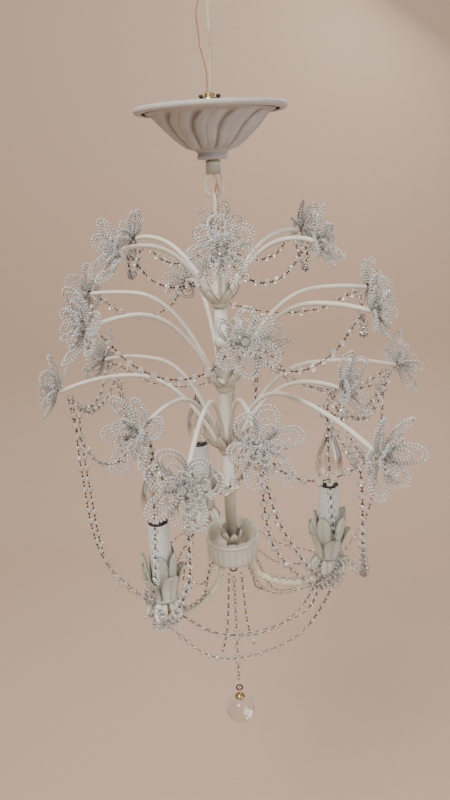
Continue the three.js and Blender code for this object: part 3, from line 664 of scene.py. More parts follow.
def make_nipple_and_nut():
    low, high = heights("hanging_nipple")
    rod = thread(5 * MM, low, high, 1.0 * MM, 0.35 * MM) + [(3.6 * MM, high), (3.6 * MM, low)]
    turned_piece("threaded_nipple", rod, 28, "brass", "ceiling_fitting", ["hanging_nipple"], "brass")
    base, top = heights("lock_nut")
    nut = Build()
    profile = outline(0, base, (5.4, 0), (10, 0), (10.5, 0.5), (10.5, 1.5), (9.8, 2.1), (8.2, 2.6), (6.8, 3.2),
                      (6.6, 6.6), (6.1, 7.2), (5.4, 7.2))
    nut.add(*turned(profile, 48, closed=True))
    screw = outline(0, base, (0.1, 1.4), (1.5, 1.4))
    screw += outline(0, top, (1.5, -2.6), (2.2, -2.4), (2.3, -1.2), (1.5, -0.3), (0.1, -0.1))
    for side in (-1, 1):
        nut.add(*moved(turned(screw, 20, caps=False), Vector((side * 8.1 * MM, 0, 0))), 1)
    nut.finish("nut_and_screws", ["brass", "bronze"], "ceiling_fitting", ["lock_nut"], "brass")


# ---- Chain ---------------------------------------------------------------------------------------

loop_top = canopy_bottom - LOOP_HUB_HEIGHT + 4 * MM
first_hinge = loop_top - LINK_HEIGHT
link_top = first_hinge + 3.6 * MM
second_hinge = link_top - LINK_HEIGHT
stem_loop_top = second_hinge + 3.6 * MM
stem_hub_top = stem_loop_top - LINK_HEIGHT
stem_top = stem_hub_top - 0.6 * LOOP_HUB_HEIGHT


def link_path(top, across):
    """Points round a wire link whose top wire centre is at top. across is its sideways direction."""
    straight = LINK_HEIGHT / 2 - LINK_HALF_WIDTH
    middle = top - LINK_HEIGHT / 2
    path = []
    for half, centre in ((0, middle + straight), (1, middle - straight)):
        for i in range(13):
            a = math.pi * (i / 12 + half)
            path.append(Vector(across) * LINK_HALF_WIDTH * math.cos(a)
                        + Vector((0, 0, centre + LINK_HALF_WIDTH * math.sin(a))))
    return path


def make_chain():
    upper = Build()
    upper.add(*tube(link_path(loop_top, (1, 0, 0)), LINK_WIRE_R, 12, True))
    high, low = canopy_bottom - GAP, canopy_bottom - GAP - LOOP_HUB_HEIGHT
    bore, floor = 5.4 * MM, high - 9 * MM
    hub = outline(0, low, (0.1, 0), (5, 0), (6.4, 0.6)) + outline(LOOP_HUB_R, low, (0, 2))
    hub += outline(LOOP_HUB_R, high, (0, -4), (-0.5, -3.4), (0, -2.8), (0, -0.6), (-0.5, 0))
    upper.add(*turned(hub + [(bore, high), (bore, floor), (AXIS_R, floor)], 40, caps=False))
    upper.finish("canopy_hang_loop", ["cream"], "ceiling_fitting", ["canopy_loop"], "cream_paint")
    link = Build()
    link.add(*tube(link_path(link_top, (0, 1, 0)), LINK_WIRE_R, 12, True))
    link.finish("chain_link_wire", ["cream"], "link", ["chain_link"], "cream_paint")
    lower = Build()
    lower.add(*tube(link_path(stem_loop_top, (1, 0, 0)), LINK_WIRE_R, 12, True))
    base, spigot = stem_top + GAP, 4.2 * MM
    hub = outline(0, stem_top, (0.1, -10), (4.2, -10)) + [(spigot, base)]
    hub += outline(LOOP_HUB_R, base, (-0.6, 0), (0, 0.7))
    hub += outline(LOOP_HUB_R, stem_hub_top, (0, 0), (-1.2, 1.4), (-3, 2)) + outline(0, stem_hub_top, (0.1, 2))
    lower.add(*turned(hub, 40, caps=False))
    lower.finish("stem_hang_loop", ["cream"], "hanger", ["stem_loop"], "cream_paint")


def make_chain_cords():
    """The lamp cord and the ground wire beside the chain, each in two lengths that meet at the link."""
    middle = (first_hinge + second_hinge) / 2
    beside = LINK_WIRE_R + CORD_R + 1.2 * MM
    for name, radius, material, dx, dy in (
            ("lamp_cord", 1.3 * MM, "jacket", 0.0, 0.0),
            ("earth_wire", GROUND_R, "copper", -3.4 * MM, -0.9 * MM)):
        x, y = beside + dx, dy - beside
        upper = [(0, -3 * MM, loop_top - 5.2 * MM), (beside * 0.6, -beside - 0.6 * MM, loop_top - 9 * MM),
                 (x, y, first_hinge + 4 * MM), (x, y - 0.6 * MM, middle)]
        lower = [upper[-1], (x, y - 0.4 * MM, second_hinge - 3 * MM),
                 (beside + dx * 0.7, y, stem_hub_top + 9 * MM), (2.4 * MM, -3.4 * MM, stem_hub_top + 2.2 * MM)]
        for part, route, bodies, hinge in (("upper", upper, ("ceiling_fitting", "link"), first_hinge),
                                           ("lower", lower, ("link", "hanger"), second_hinge)):
            build = Build()
            build.add(*tube(smooth_line(route, 1.5 * MM), radius, 10))
            mesh = build.finish(f"{name}_{part}", [material])
            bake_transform(mesh)
            if name == "lamp_cord":
                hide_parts("chain_cord")


# ---- Stem and tiers ------------------------------------------------------------------------------

def make_stem():
    low = heights("stem_tube")[0]
    upper_z, middle_z, lower_z = (TIERS[name][0] * MM for name in ("upper", "middle", "lower"))
    bore = 4.6 * MM
    profile = [(bore, low), (STEM_R, low)]
    for z in ((lower_z + heights("hub_bowl")[1]) / 2, (upper_z + middle_z) / 2):
        for i in range(9):
            a = math.pi * i / 8
            profile.append((STEM_R + 2.3 * MM * math.sin(a), z - 4 * MM * math.cos(a)))
    profile += outline(STEM_R, stem_top, (0, -0.5), (-0.5, 0)) + [(bore, stem_top)]
    turned_piece("stem", profile, 36, "cream", "chandelier", ["stem_tube"], "cream_paint")


def arm_line(tier, reach, drop):
    collar_z, apex_z, apex_r = (value * MM for value in TIERS[tier][:3])
    start = STEM_R + GAP + 0.55 * COLLAR_WALL
    top_r = min(apex_r, reach - 10 * MM)
    line = []
    for i in range(15):
        share = i / 14
        line.append((start + share ** 1.3 * (top_r - start),
                     collar_z + (1 - (1 - share ** 1.3) ** 2.3) * (apex_z - collar_z)))
    for i in range(1, 9):
        share = i / 8
        line.append((top_r + share * (reach - top_r), apex_z - drop * share * share))
    return line


def make_leaf(length, width, thick, curl, steps=12, across=8, broad=False):
    """A leaf blade along +Y, curling towards +Z, with a centre rib and side veins."""
    shoulder, rounding = (0.70, 2.2) if broad else (0.55, 2.4)
    verts, faces, dirt = [], [], []
    for side in (0, 1):
        for i in range(steps + 1):
            u = i / steps
            spread = 0.42 + 0.58 * math.sin(math.pi * min(1, 0.12 + u * 0.92))
            if broad:
                spread = 0.58 + 0.42 * math.sin(math.pi * min(0.75, 0.1 + u * 0.7))
            tip = math.sqrt(max(0.0, 1 - max(0.0, (u - shoulder) / (1 - shoulder)) ** rounding))
            half = width * spread * max(tip, 0.06) / 2
            bend = curl * u * u
            for j in range(across + 1):
                v = 2 * j / across - 1
                rib = math.exp(-(v / 0.16) ** 2)
                vein = 0.5 + 0.5 * math.cos(TAU * (u * 4.5 - abs(v) * 1.1))
                lift = abs(v) ** 1.5 * width * 0.10 - rib * 0.5 * MM + vein * 0.15 * MM
                verts.append((v * half, length * u * math.cos(bend / 2),
                              length * u * math.sin(bend / 2) + lift + side * thick))
                # Painted shade in the rib and vein hollows, and darker towards the edges and the tip.
                hollow_shade_and_edges = 0.5 * rib * (1 - u * 0.5) + 0.16 * (1 - vein) + 0.7 * abs(v) ** 8 + 0.7 * u ** 24
                dirt.append(min(1.0, hollow_shade_and_edges))
    row = across + 1
    base = (steps + 1) * row
    for i in range(steps):
        for j in range(across):
            a = i * row + j
            faces.append([a, a + row, a + row + 1, a + 1])
            faces.append([base + a, base + a + 1, base + a + row + 1, base + a + row])
    for i in range(steps):
        for j in (0, across):
            a = i * row + j
            ring = [a, base + a, base + a + row, a + row]
            faces.append(ring if j == 0 else ring[::-1])
    for i in (0, steps):
        for j in range(across):
            a = i * row + j
            ring = [a, a + 1, base + a + 1, base + a]
            faces.append(ring if i == 0 else ring[::-1])
    return np.array(verts), faces, np.array(dirt)


def add_leaf_ring(build, count, radius, z, tilt, leaf, first=0.0, centre=(0, 0), spin=0.0, seed=1):
    draw = random.Random(seed)
    verts, faces, dirt = leaf
    for i in range(count):
        wobble = math.radians(draw.uniform(-5, 5))
        turn = math.radians(first + spin + 180 + 360 * i / count) + wobble * 0.5
        placed = (Matrix.Translation((centre[0], centre[1], z)) @ Matrix.Rotation(turn, 4, "Z")
                  @ Matrix.Translation((0, radius, 0)) @ Matrix.Rotation(math.radians(tilt) + wobble, 4, "X"))
        build.add(verts @ np.array(placed.to_3x3()).T + np.array(placed.translation), faces, dirt=dirt)


def collar_profile(z, height, bore, wall):
    r, half = bore + wall, height / 2
    rise = half - 0.8 * MM
    return [(bore, z - half), (r - 1.8 * MM, z - half), (r - MM, z - rise), (r - MM, z - half * 0.6),
            (r, z - half * 0.45), (r + 0.2 * MM, z), (r, z + half * 0.45), (r - MM, z + half * 0.6),
            (r - MM, z + rise), (r - 1.8 * MM, z + half), (bore, z + half)]


def make_tiers():
    for name, (collar_z, _, _, arms) in TIERS.items():
        build = Build()
        height = (14 if name == "upper" else 16) * MM
        build.add(*turned(collar_profile(collar_z * MM, height, STEM_R + GAP, COLLAR_WALL), 40, closed=True))
        for angle, reach, drop in arms:
            line = [polar(angle, r, z) for r, z in arm_line(name, reach * MM, drop * MM)]
            line = smooth_line(line, 4 * MM)
            radii = [ARM_R * (1 + 0.18 * math.exp(-i / 4)) for i in range(len(line))]
            radii[-1] *= 0.75
            build.add(*tube(line, radii, 12))
            end, before = line[-1], line[-3]
            knob = end - (end - before).normalized() * 0.6 * MM
            build.add_copies(ROUND, [(knob, end - before, ARM_R, 0.5)])
        count, length = CROWNS[name]
        leaf = make_leaf(length * MM, 13 * MM, 1.2 * MM, 0.5)
        root = STEM_R + GAP + 1.2 * MM
        add_leaf_ring(build, count, root, collar_z * MM - 3 * MM, 38, leaf, 180 / count, seed=3)
        build.finish(f"{name}_arms", ["cream"], "chandelier", [f"{name}_tier"], "cream_paint")


# ---- Bead flowers --------------------------------------------------------------------------------

def petal_loop(length, width, lift, inward):
    """A teardrop loop in the petal's own frame: +X along the petal, +Z up from the flower's face."""
    steps = 40
    points = []
    for i in range(steps + 1):
        s = TAU * i / steps
        along = inward + (length - inward) * (1 - math.cos(s)) / 2
        share = along / length
        across = width / 2 * math.sin(s) * (0.55 + 0.55 * share)
        points.append(Vector((along, across, lift * length * share * share)))
    return points


def add_petal(build, base, normal, out, length, width, lift, twist, rows):
    """One petal of seed beads: loops one inside another, on a wire."""
    across = normal.cross(out)
    across_t = across * math.cos(twist) + normal * math.sin(twist)
    rise = normal * math.cos(twist) - across * math.sin(twist)
    for stretch, narrow, bead in rows:
        loop = petal_loop(length * stretch, width * narrow, lift, 2.5 * MM)
        line = [base + out * p.x + across_t * p.y + rise * p.z for p in loop]
        beads = evenly(line, bead * 2.02)
        build.add_copies(SEED, [(at, axis, bead, 0.9) for at, axis in beads[1:-1]])
        build.add(*tube(line[::3] + [line[-1]], 0.28 * MM, 5), 1)


OUTER_ROWS = ((1.0, 1.0, 1.45 * MM), (0.88, 0.76, 1.35 * MM), (0.66, 0.44, 1.3 * MM))
INNER_ROWS = ((1.0, 1.0, 1.4 * MM), (0.68, 0.5, 1.3 * MM))
FLOWER_SIZES = {"upper": 31 * MM, "middle": 34 * MM, "lower": 37 * MM}


def make_flower(name, tip, facing, size, seed):
    draw = random.Random(seed)
    build = Build()
    petals = draw.choice((6, 6, 7, 7))
    normal = Vector(facing).normalized()
    side = normal.orthogonal().normalized()
    spin = draw.uniform(0, TAU)
    base = tip + normal * 2.5 * MM

    def outward(a):
        return side * math.cos(a) + normal.cross(side) * math.sin(a)

    for k in range(petals):
        a = spin + TAU * k / petals + draw.uniform(-0.16, 0.16)
        length = size * draw.uniform(0.84, 1.02)
        add_petal(build, base, normal, outward(a), length, length * draw.uniform(0.56, 0.68),
                  draw.uniform(0.0, 0.62), draw.uniform(-0.4, 0.4), OUTER_ROWS)
    for k in range(5):
        a = spin + 0.4 + TAU * k / 5 + draw.uniform(-0.2, 0.2)
        lean = draw.uniform(0.35, 0.7)
        out = (outward(a) * math.cos(lean) + normal * math.sin(lean)).normalized()
        length = size * draw.uniform(0.5, 0.62)
        face = (normal - out * normal.dot(out)).normalized()
        add_petal(build, base + normal * 1.5 * MM, face, out, length, length * draw.uniform(0.55, 0.66),
                  draw.uniform(0.0, 0.3), draw.uniform(-0.3, 0.3), INNER_ROWS)
    build.add_copies(CUT, [(base + normal * 6 * MM, normal, 4.4 * MM, 0.8)], 2)
    ring = [(base + normal * 3.4 * MM + outward(TAU * i / 8) * 6.0 * MM, normal, 2.1 * MM, 0.8)
            for i in range(8)]
    build.add_copies(SEED, ring)
    return build.finish(name, ["seed", "bronze", "crystal"], "chandelier", [name], "glass_beads")


def make_flowers():
    tilt = math.radians(FLOWER_TILT)
    for t, (name, (_, apex_z, apex_r, arms)) in enumerate(TIERS.items()):
        for i, (angle, reach, drop) in enumerate(arms):
            out = polar(angle, 1, 0)
            facing = out * math.cos(tilt) + Vector((0, 0, math.sin(tilt)))
            droop = math.atan2(2 * drop, reach - min(apex_r, reach - 10))
            away = FLOWER_GAP + ARM_R * math.sin(tilt + droop)
            tip = polar(angle, reach * MM, (apex_z - drop) * MM) + facing * away
            make_flower(f"{name}_flower_{i + 1}", tip, facing, FLOWER_SIZES[name], 100 * t + i)


# ---- Garlands ------------------------------------------------------------------------------------

def eye_template():
    """A small wire ring of radius 1, lying across X, for the eyes of the links between beads."""
    ring = [Vector((0, math.cos(TAU * i / 9), math.sin(TAU * i / 9))) for i in range(9)]
    verts, faces = tube(ring, 0.3, 5, True)
    return np.array([tuple(v) for v in verts]), faces, False


EYE = eye_template()


def add_bead_chain(build, line, closed, seed, bead=4.3 * MM, pitch=12.6 * MM, eye=1.2 * MM):
    """Cut beads along a line, joined by short dark pins that end in round eyes."""
    draw = random.Random(seed)
    places = evenly(line, pitch, closed)
    if not closed:
        places = places[1:-1]
    cut, eyes, ends = [], [], []
    for at, axis in places:
        size = bead * draw.choice((0.76, 0.9, 1.0, 1.05))
        stretch = draw.uniform(0.86, 1.0)
        half = size * 0.8 * stretch
        cut.append((at, axis, size, stretch))
        ends.append((at - axis * half, at + axis * half))
        for end in (-1, 1):
            eyes.append((at + axis * end * (half + eye * 0.8), axis, eye, 1))
    build.add_copies(CUT, cut, 0)
    build.add_copies(EYE, eyes, 1)
    following = ends[1:] + ends[:1] if closed else ends[1:]
    for (_, last), (first, _) in zip(ends, following):
        build.add(*tube([last, first], 0.34 * MM, 5), 1)


def bead_strand(name, line, seed, bead, pitch, eye=1.2 * MM, closed=False, replaces=()):
    """A bead chain as a piece of its own, which rides on the chandelier."""
    build = Build()
    add_bead_chain(build, line, closed, seed, bead, pitch, eye)
    build.finish(name, ["crystal", "bronze"], "chandelier", replaces, "glass_beads")


def swag(start, end, sag):
    """Points on a strand that sags between two places, each given as (angle, radius, height)."""
    (angle, r, z), (next_angle, next_r, next_z) = start, end
    turn = (next_angle - angle + 720) % 360
    depth = sag * min(1, turn / 50)
    points = []
    for share in (0.25, 0.5, 0.75):
        bow = 4 * share * (1 - share)
        flat = 1 - 0.06 * (turn / 60) * bow
        points.append(polar(angle + turn * share, (r + (next_r - r) * share) * flat,
                            z + (next_z - z) * share - depth * bow))
    return points


def tier_garland_points(name):
    _, apex_z, _, arms = TIERS[name]
    under = ARM_R + BEAD_R + GAP + 0.6 * MM
    stops = [(angle, reach * MM - GARLAND_INSET, (apex_z - fall) * MM - under) for angle, reach, fall in arms]
    points = []
    for stop, following in zip(stops, stops[1:] + stops[:1]):
        points += [polar(*stop), *swag(stop, following, SAGS[name])]
    return points


# The long strand's stops: a lower arm's number, or a cup's number, degrees round and how far out.
LONG_STRAND = [(0, 0, 14), 8, 0, (1, -5, 13), (1, 5, 13), 1, 2, 3, 4, (2, 0, 14), 5, 6]
# More strands: each lower arm's number, the cup that it hangs down to, and degrees round from it.
SIDE_STRANDS = [(6, 0, 3), (7, 0, -4), (0, 1, -4), (2, 1, 1), (3, 1, 4), (4, 2, -4), (5, 2, 4)]


def cup_stop(number, round_by, out_by):
    return (CANDLE_ANGLES[number] + round_by, CANDLE_RING_R + out_by * MM, CUP_Z - 7 * MM)


def arm_stop(number, inset=GARLAND_INSET + 11 * MM, under=BEAD_R + 18 * MM):
    _, apex_z, _, arms = TIERS["lower"]
    angle, reach, fall = arms[number]
    return (angle, reach * MM - inset, (apex_z - fall) * MM - ARM_R - under)


def hanging_points(start, end, shares):
    turn = (end[0] - start[0] + 540) % 360 - 180
    return [polar(start[0] + turn * along, start[1] + (end[1] - start[1]) * along,
                  start[2] + (end[2] - start[2]) * down) for along, down in shares]


def long_garland_points():
    stops = [cup_stop(*s) if isinstance(s, tuple) else arm_stop(s) for s in LONG_STRAND]
    points = []
    for i, stop in enumerate(stops):
        following = stops[(i + 1) % len(stops)]
        here, there = (isinstance(LONG_STRAND[k % len(stops)], tuple) for k in (i, i + 1))
        points.append(polar(*stop))
        if not here and not there:
            points += swag(stop, following, LONG_SAG)
        elif not (here and there):
            shares = ((0.5, 0.1), (0.9, 0.5)) if here else ((0.1, 0.5), (0.5, 0.9))
            points += hanging_points(stop, following, shares)
    return points


def make_side_strands():
    """More strands from the lower arms' tips down to the leaves of the candle cups."""
    for n, (arm, cup, beside) in enumerate(SIDE_STRANDS):
        start = arm_stop(arm, GARLAND_INSET + 4 * MM, BEAD_R)
        end = cup_stop(cup, beside, 16)
        route = [polar(*start), *hanging_points(start, end, ((0.12, 0.4), (0.45, 0.82))), polar(*end)]
        bead_strand(f"side_strand_{n + 1}", smooth_line(route, 3 * MM), 200 + n, 4 * MM, 12 * MM)


def hub_garland_points():
    low = heights("hub_bowl")[0] - HUB_SWAG_DROP
    points = []
    for angle in CANDLE_ANGLES:
        points += [polar(angle, CANDLE_RING_R + 10 * MM, CUP_Z - 26 * MM),
                   polar(angle + 24, CANDLE_RING_R * 0.86, low + 26 * MM),
                   polar(angle + 60, CANDLE_RING_R * 0.6, low),
                   polar(angle + 96, CANDLE_RING_R * 0.86, low + 26 * MM)]
    return points


def make_garlands():
    routes = {f"{name}_garland": tier_garland_points(name) for name in TIERS}
    routes["long_garland"] = long_garland_points()
    routes["hub_garland"] = hub_garland_points()
    for seed, (name, points) in enumerate(routes.items()):
        small = name in ("upper_garland", "hub_garland")
        bead, pitch = (3.5 * MM, 10.4 * MM) if small else (4.4 * MM, 12.8 * MM)
        line = smooth_line(points, 3 * MM, True)
        bead_strand(name, line, seed, bead, pitch, closed=True, replaces=[name])


# ---- Hub, candle arms and cups -------------------------------------------------------------------

def make_hub():
    low, high = heights("hub_bowl")
    build = Build()
    bore = STEM_R + GAP
    r = 30.5 * MM
    profile = [(bore, low), *outline(r, low, (-5, 0), (-2, 1.2), (-0.4, 4), (0, 6.5), (0, 14))]
    profile += outline(r, high, (0, -10), (0.6, -9), (0.9, -8), (0.2, -7), (0.4, -4), (1.6, -1.2), (1.7, -0.4),
                       (1, -0.2), (-0.6, -2.4), (-1.8, -8))
    profile += outline(r, low, (-2.2, 9), (-6, 5.2)) + [(bore, low + 5 * MM)]

    def scallop(a, radius, z):
        edge = max(0.0, (z - (high - 9 * MM)) / (9 * MM)) if radius > 20 * MM else 0
        wave = abs(math.sin(9 * a))
        fluted = low + 4 * MM < z < high - 9.5 * MM and radius > r - 0.5 * MM
        flute = abs(math.sin(14 * a)) if fluted else 1
        return (radius - edge * 0.4 * MM * (1 - wave) - 0.9 * MM * (1 - flute),
                z - edge * 2.6 * MM * (1 - wave) ** 2)

    dense = []
    for (r0, z0), (r1, z1) in zip(profile, profile[1:] + profile[:1]):
        for i in range(3):
            dense.append((r0 + (r1 - r0) * i / 3, z0 + (z1 - z0) * i / 3))
    build.add(*turned(dense, 252, closed=True, shift=scallop))
    inner = make_leaf(17 * MM, 12 * MM, 0.8 * MM, 0.6, 8, 6)
    add_leaf_ring(build, 7, bore + 0.6 * MM, high - 13 * MM, 50, inner, 12, seed=8)
    build.finish("hub_drum", ["cream"], "chandelier", ["hub_bowl"], "cream_paint")


def make_hub_strands():
    """Strands from under the hub out to the swags between the cups, and a second swag above those."""
    low = heights("hub_bowl")[0]
    number = 0
    for angle in CANDLE_ANGLES:
        for turn, end_r, fall in ((60, 0.58, HUB_SWAG_DROP - 6 * MM), (30, 0.78, 72 * MM)):
            start = polar(angle + turn, 26 * MM, low - 1 * MM)
            end = polar(angle + turn, CANDLE_RING_R * end_r, low - fall)
            middle = start.lerp(end, 0.45) - Vector((0, 0, 31 * MM))
            number += 1
            hub_strand(number, [start, middle, end])
        cups = [polar(angle + turn, CANDLE_RING_R - 6 * MM, CUP_Z - 22 * MM) for turn in (3, 117)]
        for out, fall in ((0.72, 52 * MM), (0.86, 34 * MM)):
            between = [polar(angle + turn, CANDLE_RING_R * (out + 0.1 * abs(turn - 60) / 30),
                             low - fall * share)
                       for turn, share in ((30, 0.72), (60, 1), (90, 0.72))]
            number += 1
            hub_strand(number, [cups[0], *between, cups[1]])


def hub_strand(number, points):
    bead_strand(f"hub_strand_{number}", smooth_line(points, 3 * MM), 400 + number, 3 * MM, 9.6 * MM, 1.1 * MM)


def make_finial():
    top = heights("hub_bowl")[0] - GAP
    base = top - 9 * MM
    bore, floor = STEM_R + GAP, heights("stem_tube")[0] - GAP
    profile = outline(0, base, (0.1, -0.2), (2.6, 0), (4.4, 0.7), (6, 2), (9.4, 3.2), (11.4, 5.2), (12, 7))
    profile += outline(0, top, (11.6, -0.5), (11, 0)) + [(bore, top), (bore, floor), (AXIS_R, floor)]
    build = Build()
    build.add(*turned(profile, 40, caps=False))
    build.add(*small_ring(base - 3 * MM, (0, 1, 0)))
    build.finish("hub_finial", ["cream"], "chandelier", ["bottom_finial"], "cream_paint")


def small_ring(centre_z, across):
    """A wire ring standing upright, across being its sideways direction."""
    path = []
    for i in range(24):
        a = TAU * i / 24
        path.append(Vector(across) * RING_R * math.cos(a) + Vector((0, 0, centre_z + RING_R * math.sin(a))))
    return tube(path, RING_WIRE_R, 10, True)


def make_candle_arm(index):
    angle = CANDLE_ANGLES[index]
    under = heights("hub_bowl")[0]
    start, dip = under - GAP, under - ARM_DIP
    line = [(20 * MM, start), (20 * MM, start - 5 * MM), (27 * MM, start - 20 * MM), (44 * MM, dip + 4 * MM),
            (CANDLE_RING_R * 0.6, dip), (CANDLE_RING_R * 0.82, dip + 7 * MM),
            (CANDLE_RING_R * 0.96, dip + 20 * MM),
            (CANDLE_RING_R, CUP_Z - 9 * MM), (CANDLE_RING_R, CUP_Z + 8 * MM)]
    path = smooth_line([polar(angle, r, z) for r, z in line], 1.4 * MM)
    smooth_from = next(i for i, at in enumerate(path) if at.z > CUP_Z - 9 * MM and i > len(path) / 2)

    def rope(i, a):
        return 0.97 if i >= smooth_from else 0.91 + 0.09 * math.cos(3 * a + i * 0.9)

    build = Build()
    build.add(*tube(path, CANDLE_ARM_R, 24, shape=rope))
    arm = f"candle_arm_{index + 1}"
    build.finish(f"candle_branch_{index + 1}", ["rope"], "chandelier", [arm], "cream_paint")

    lying = [at + Vector((0, 0, CANDLE_ARM_R + 2.8 * MM)) for at in path[len(path) // 4:smooth_from - 8]]
    bead_strand(f"branch_beads_{index + 1}", lying, 300 + index, 2.9 * MM, 8.2 * MM, 0.9 * MM)

    spray = Build()
    out = polar(angle, 1, 0)
    base = polar(angle, CANDLE_RING_R, CUP_Z - 21 * MM)
    petals = ((-62, 21, -0.5), (-20, 17, -0.8), (24, 18, -0.6), (70, 20, -0.45))
    for k, (bearing, length, fall) in enumerate(petals):
        way = (polar(angle + bearing, 1, 0) + Vector((0, 0, fall))).normalized()
        face = (Vector((0, 0, 1)) - way * way.z).normalized()
        add_petal(spray, base + way * (CANDLE_ARM_R + 1 * MM), face, way, length * MM, length * 0.55 * MM, 0.1,
                  0.3 - 0.2 * k, INNER_ROWS)
    band = [base + polar(angle + d, 1, 0) * CANDLE_ARM_R * 1.05 for d in range(0, 360, 20)]
    spray.add(*tube(band, 0.6 * MM, 6, True), 1)
    spray.add_copies(CUT, [(base + out * (CANDLE_ARM_R + 2.6 * MM), out, 2.6 * MM, 0.9)], 2)
    spray.finish(f"cup_spray_{index + 1}", ["seed", "bronze", "crystal"], "chandelier", slot="glass_beads")


def make_leaf_cup(index):
    angle = CANDLE_ANGLES[index]
    place = polar(angle, CANDLE_RING_R, 0)
    bore = CANDLE_ARM_R + 2 * GAP
    profile = [(bore, CUP_Z - 3 * MM)]
    profile += outline(0, CUP_Z, (8.6, -3), (11, -2.4), (14.6, -0.6), (15.4, 0.6), (15.2, 1.5), (14.4, 1.6))
    profile += [(bore, CUP_Z + 1.6 * MM)]
    build = Build()
    build.add(*moved(turned(profile, 40, closed=True), place))
    root = SLEEVE_R + 2.35 * MM
    # Upright, flared and hanging leaves: count, way in, height, tilt, first bearing, seed, leaf.
    for count, inwards, z, tilt, first, seed, (length, width, curl, steps) in (
            (5, 0, -0.5, 88, 36, 20, (57, 18, -0.12, 20)),
            (5, 0, -0.5, 80, 0, 25, (38, 20, -0.4, 18)),
            (6, 3.6, -2.6, -50, 30, 30, (21, 15, -0.5, 14))):
        leaf = make_leaf(length * MM, width * MM, 1.1 * MM, curl, steps, 10, True)
        add_leaf_ring(build, count, root - inwards * MM, CUP_Z + z * MM, tilt, leaf, first,
                      (place.x, place.y), angle, seed=seed + index)
    cup = f"leaf_cup_{index + 1}"
    build.finish(f"leaf_cup_and_leaves_{index + 1}", ["leaf"], "chandelier", [cup], "cream_paint")


def moved(shape, place):
    verts, faces = shape
    return [(x + place.x, y + place.y, z) for x, y, z in verts], faces


def make_candle(index):
    place = polar(CANDLE_ANGLES[index], CANDLE_RING_R, 0)
    low, high = heights(f"candle_sleeve_{index + 1}")
    draw = random.Random(50 + index)
    phases = [draw.uniform(0, TAU) for _ in range(3)]

    def uneven(a, r, z):
        wave = sum(math.sin((n + 2) * a + p + z * 90) for n, p in enumerate(phases))
        return r + (0.05 * MM * wave if r > 11 * MM else 0), z

    outer = outline(SLEEVE_R, low, (-0.35, 0), (-0.05, 0.4))
    outer += [(SLEEVE_R - 0.1 * MM, low + (high - low) * i / 14) for i in range(1, 14)]
    outer += outline(SLEEVE_R, high, (-0.1, -0.6), (-0.4, 0))
    outer += outline(0, high, (10.6, 0), (10.3, -0.4)) + [(10.25 * MM, low)]
    build = Build()
    build.add(*moved(turned(outer, 48, closed=True, shift=uneven), place))
    sleeve = f"candle_sleeve_{index + 1}"
    build.finish(f"candle_cover_{index + 1}", ["sleeve"], "chandelier", [sleeve], "candle_sleeve")
    make_bulb(index, place, high)
    make_filament(index, place, high)


def make_bulb(index, place, high):
    body = f"bulb_{index + 1}"
    contact, tip = heights(body)
    base = Build()
    threaded = thread(6 * MM, contact + 3 * MM, high - 3.2 * MM, 1.8 * MM, 0.5 * MM, per_turn=6)
    cap = outline(0, contact, (0.1, 0), (2.4, 0), (2.8, 1), (4.6, 2.2))
    neck = outline(0, high, (6.2, -2.6), (7, -1.2), (6.6, 0.4), (0.1, 0.4))
    base.add(*moved(turned(cap + threaded + neck, 36, caps=False), place))
    base.finish(f"bulb_base_{index + 1}", ["socket", "bronze"], body, slot="bulb_glass")

    envelope = [(6.4, 0.0), (8.2, 0.035), (10.6, 0.08), (12.8, 0.13), (14.6, 0.2), (15.4, 0.28), (15.4, 0.35),
                (14.8, 0.44), (13.4, 0.53), (11.3, 0.62), (8.6, 0.72), (6.1, 0.81), (4.2, 0.88), (2.6, 0.94),
                (1.2, 0.985), (0.01, 1.0)]
    foot = high + 0.5 * MM
    outside = smooth_profile([(r * MM, foot + (tip - foot) * share) for r, share in envelope])
    inside = [(max(r - 0.55 * MM, TIP_R), z - (0.5 * MM if z > foot + 1 * MM else -0.1 * MM))
              for r, z in outside]
    inside[-1] = (TIP_R, tip - 1.2 * MM)
    shell = Build()
    shell.add(*moved(turned(outside + inside[::-1], 40, closed=True), place))
    shell.finish(f"bulb_envelope_{index + 1}", ["bulb"], body, [body], "bulb_glass")


def make_filament(index, place, high):
    filament = Build()
    stem = outline(0, high, (0.1, 0.6), (3.4, 0.6), (2.4, 6), (1.5, 13), (1.7, 15), (0.1, 16))
    filament.add(*moved(turned(stem, 16, caps=False), place))
    top = high + 34 * MM
    for side in (-1, 1):
        wire = [place + Vector((side * x * MM, 0, z)) for x, z in (
            (1.1, high + 13 * MM), (2.4, high + 22 * MM), (4.6, top))]
        filament.add(*tube(smooth_line(wire, 2 * MM), 0.22 * MM, 6), 1)
    coil = []
    for i in range(121):
        share = i / 120
        a = TAU * share * 15
        coil.append(place + Vector(((-4.6 + 9.2 * share) * MM, 0.5 * MM * math.cos(a),
                                    top + 3 * MM * math.sin(math.pi * share) + 0.5 * MM * math.sin(a))))
    filament.add(*tube(coil, 0.1 * MM, 4), 1)
    body = f"bulb_{index + 1}"
    filament.finish(f"bulb_filament_{index + 1}", ["bulb", "bronze"], body, slot="bulb_glass")


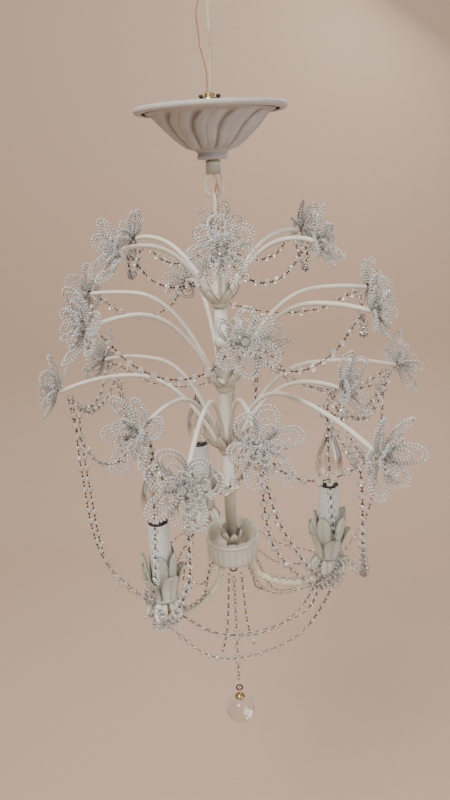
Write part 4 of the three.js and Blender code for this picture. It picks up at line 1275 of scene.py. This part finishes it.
def smooth_profile(points):
    """More points along a turned profile, on a smooth curve through the given ones."""
    line = smooth_line([Vector((r, 0, z)) for r, z in points], 2 * MM)
    return [(max(p.x, TIP_R), p.z) for p in line]


# ---- Drop strand and ball ------------------------------------------------------------------------

def make_drop():
    low, top = heights("drop_strand")
    first, last = top - RING_WIRE_R - RING_R, low + RING_WIRE_R + RING_R
    build = Build()
    build.add(*small_ring(first, (1, 0, 0)), 1)
    build.add(*small_ring(last, (1, 0, 0)), 1)
    line = [Vector((0, 0, first - RING_R + (last + 2 * RING_R - first) * i / 30)) for i in range(31)]
    add_bead_chain(build, line, False, 77, 3.8 * MM, 12.2 * MM)
    build.finish("drop_bead_strand", ["crystal", "bronze"], "drop", ["drop_strand"], "glass_beads")

    cap_low, cap_high = heights("ball_cap")
    cap = Build()
    cap.add(*small_ring(cap_high - RING_WIRE_R - RING_R, (0, 1, 0)))
    profile = outline(0, cap_low, (0.1, 0.6), (5.6, 0.2), (6.5, 0), (6.4, 0.7), (5.4, 2.4), (3.2, 4), (2, 5.2),
                      (0.1, 5.6))
    cap.add(*turned(profile, 32, caps=False))
    cap.finish("ball_cap_and_ring", ["brass"], "ball", ["ball_cap"], "brass")

    lowest, highest = heights("crystal_ball")
    radius = (highest - lowest) / 2
    ball = Build()
    ball.add_copies(round_template(48, 32), [(Vector((0, 0, (lowest + highest) / 2)), (0, 0, 1), radius, 1)])
    ball.finish("glass_ball", ["ball"], "ball", ["crystal_ball"], "crystal")


# ---- Finish of the CAD nodes that stay -----------------------------------------------------------

def paint_kept_nodes():
    kept = {"mounting_strap": "brass"}
    for i in range(CANDLES):
        kept[f"lamp_socket_{i + 1}"] = "socket"
    for name, key in kept.items():
        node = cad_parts[name]
        for slot in node.material_slots:
            slot.material = MATERIALS[key]


make_camera()
make_cords()
make_room()
make_lights()
make_canopy()
make_nipple_and_nut()
make_chain()
make_chain_cords()
make_stem()
make_tiers()
make_flowers()
make_garlands()
make_side_strands()
make_hub()
make_hub_strands()
make_finial()
for candle in range(CANDLES):
    make_candle_arm(candle)
    make_leaf_cup(candle)
    make_candle(candle)
make_drop()
paint_kept_nodes()
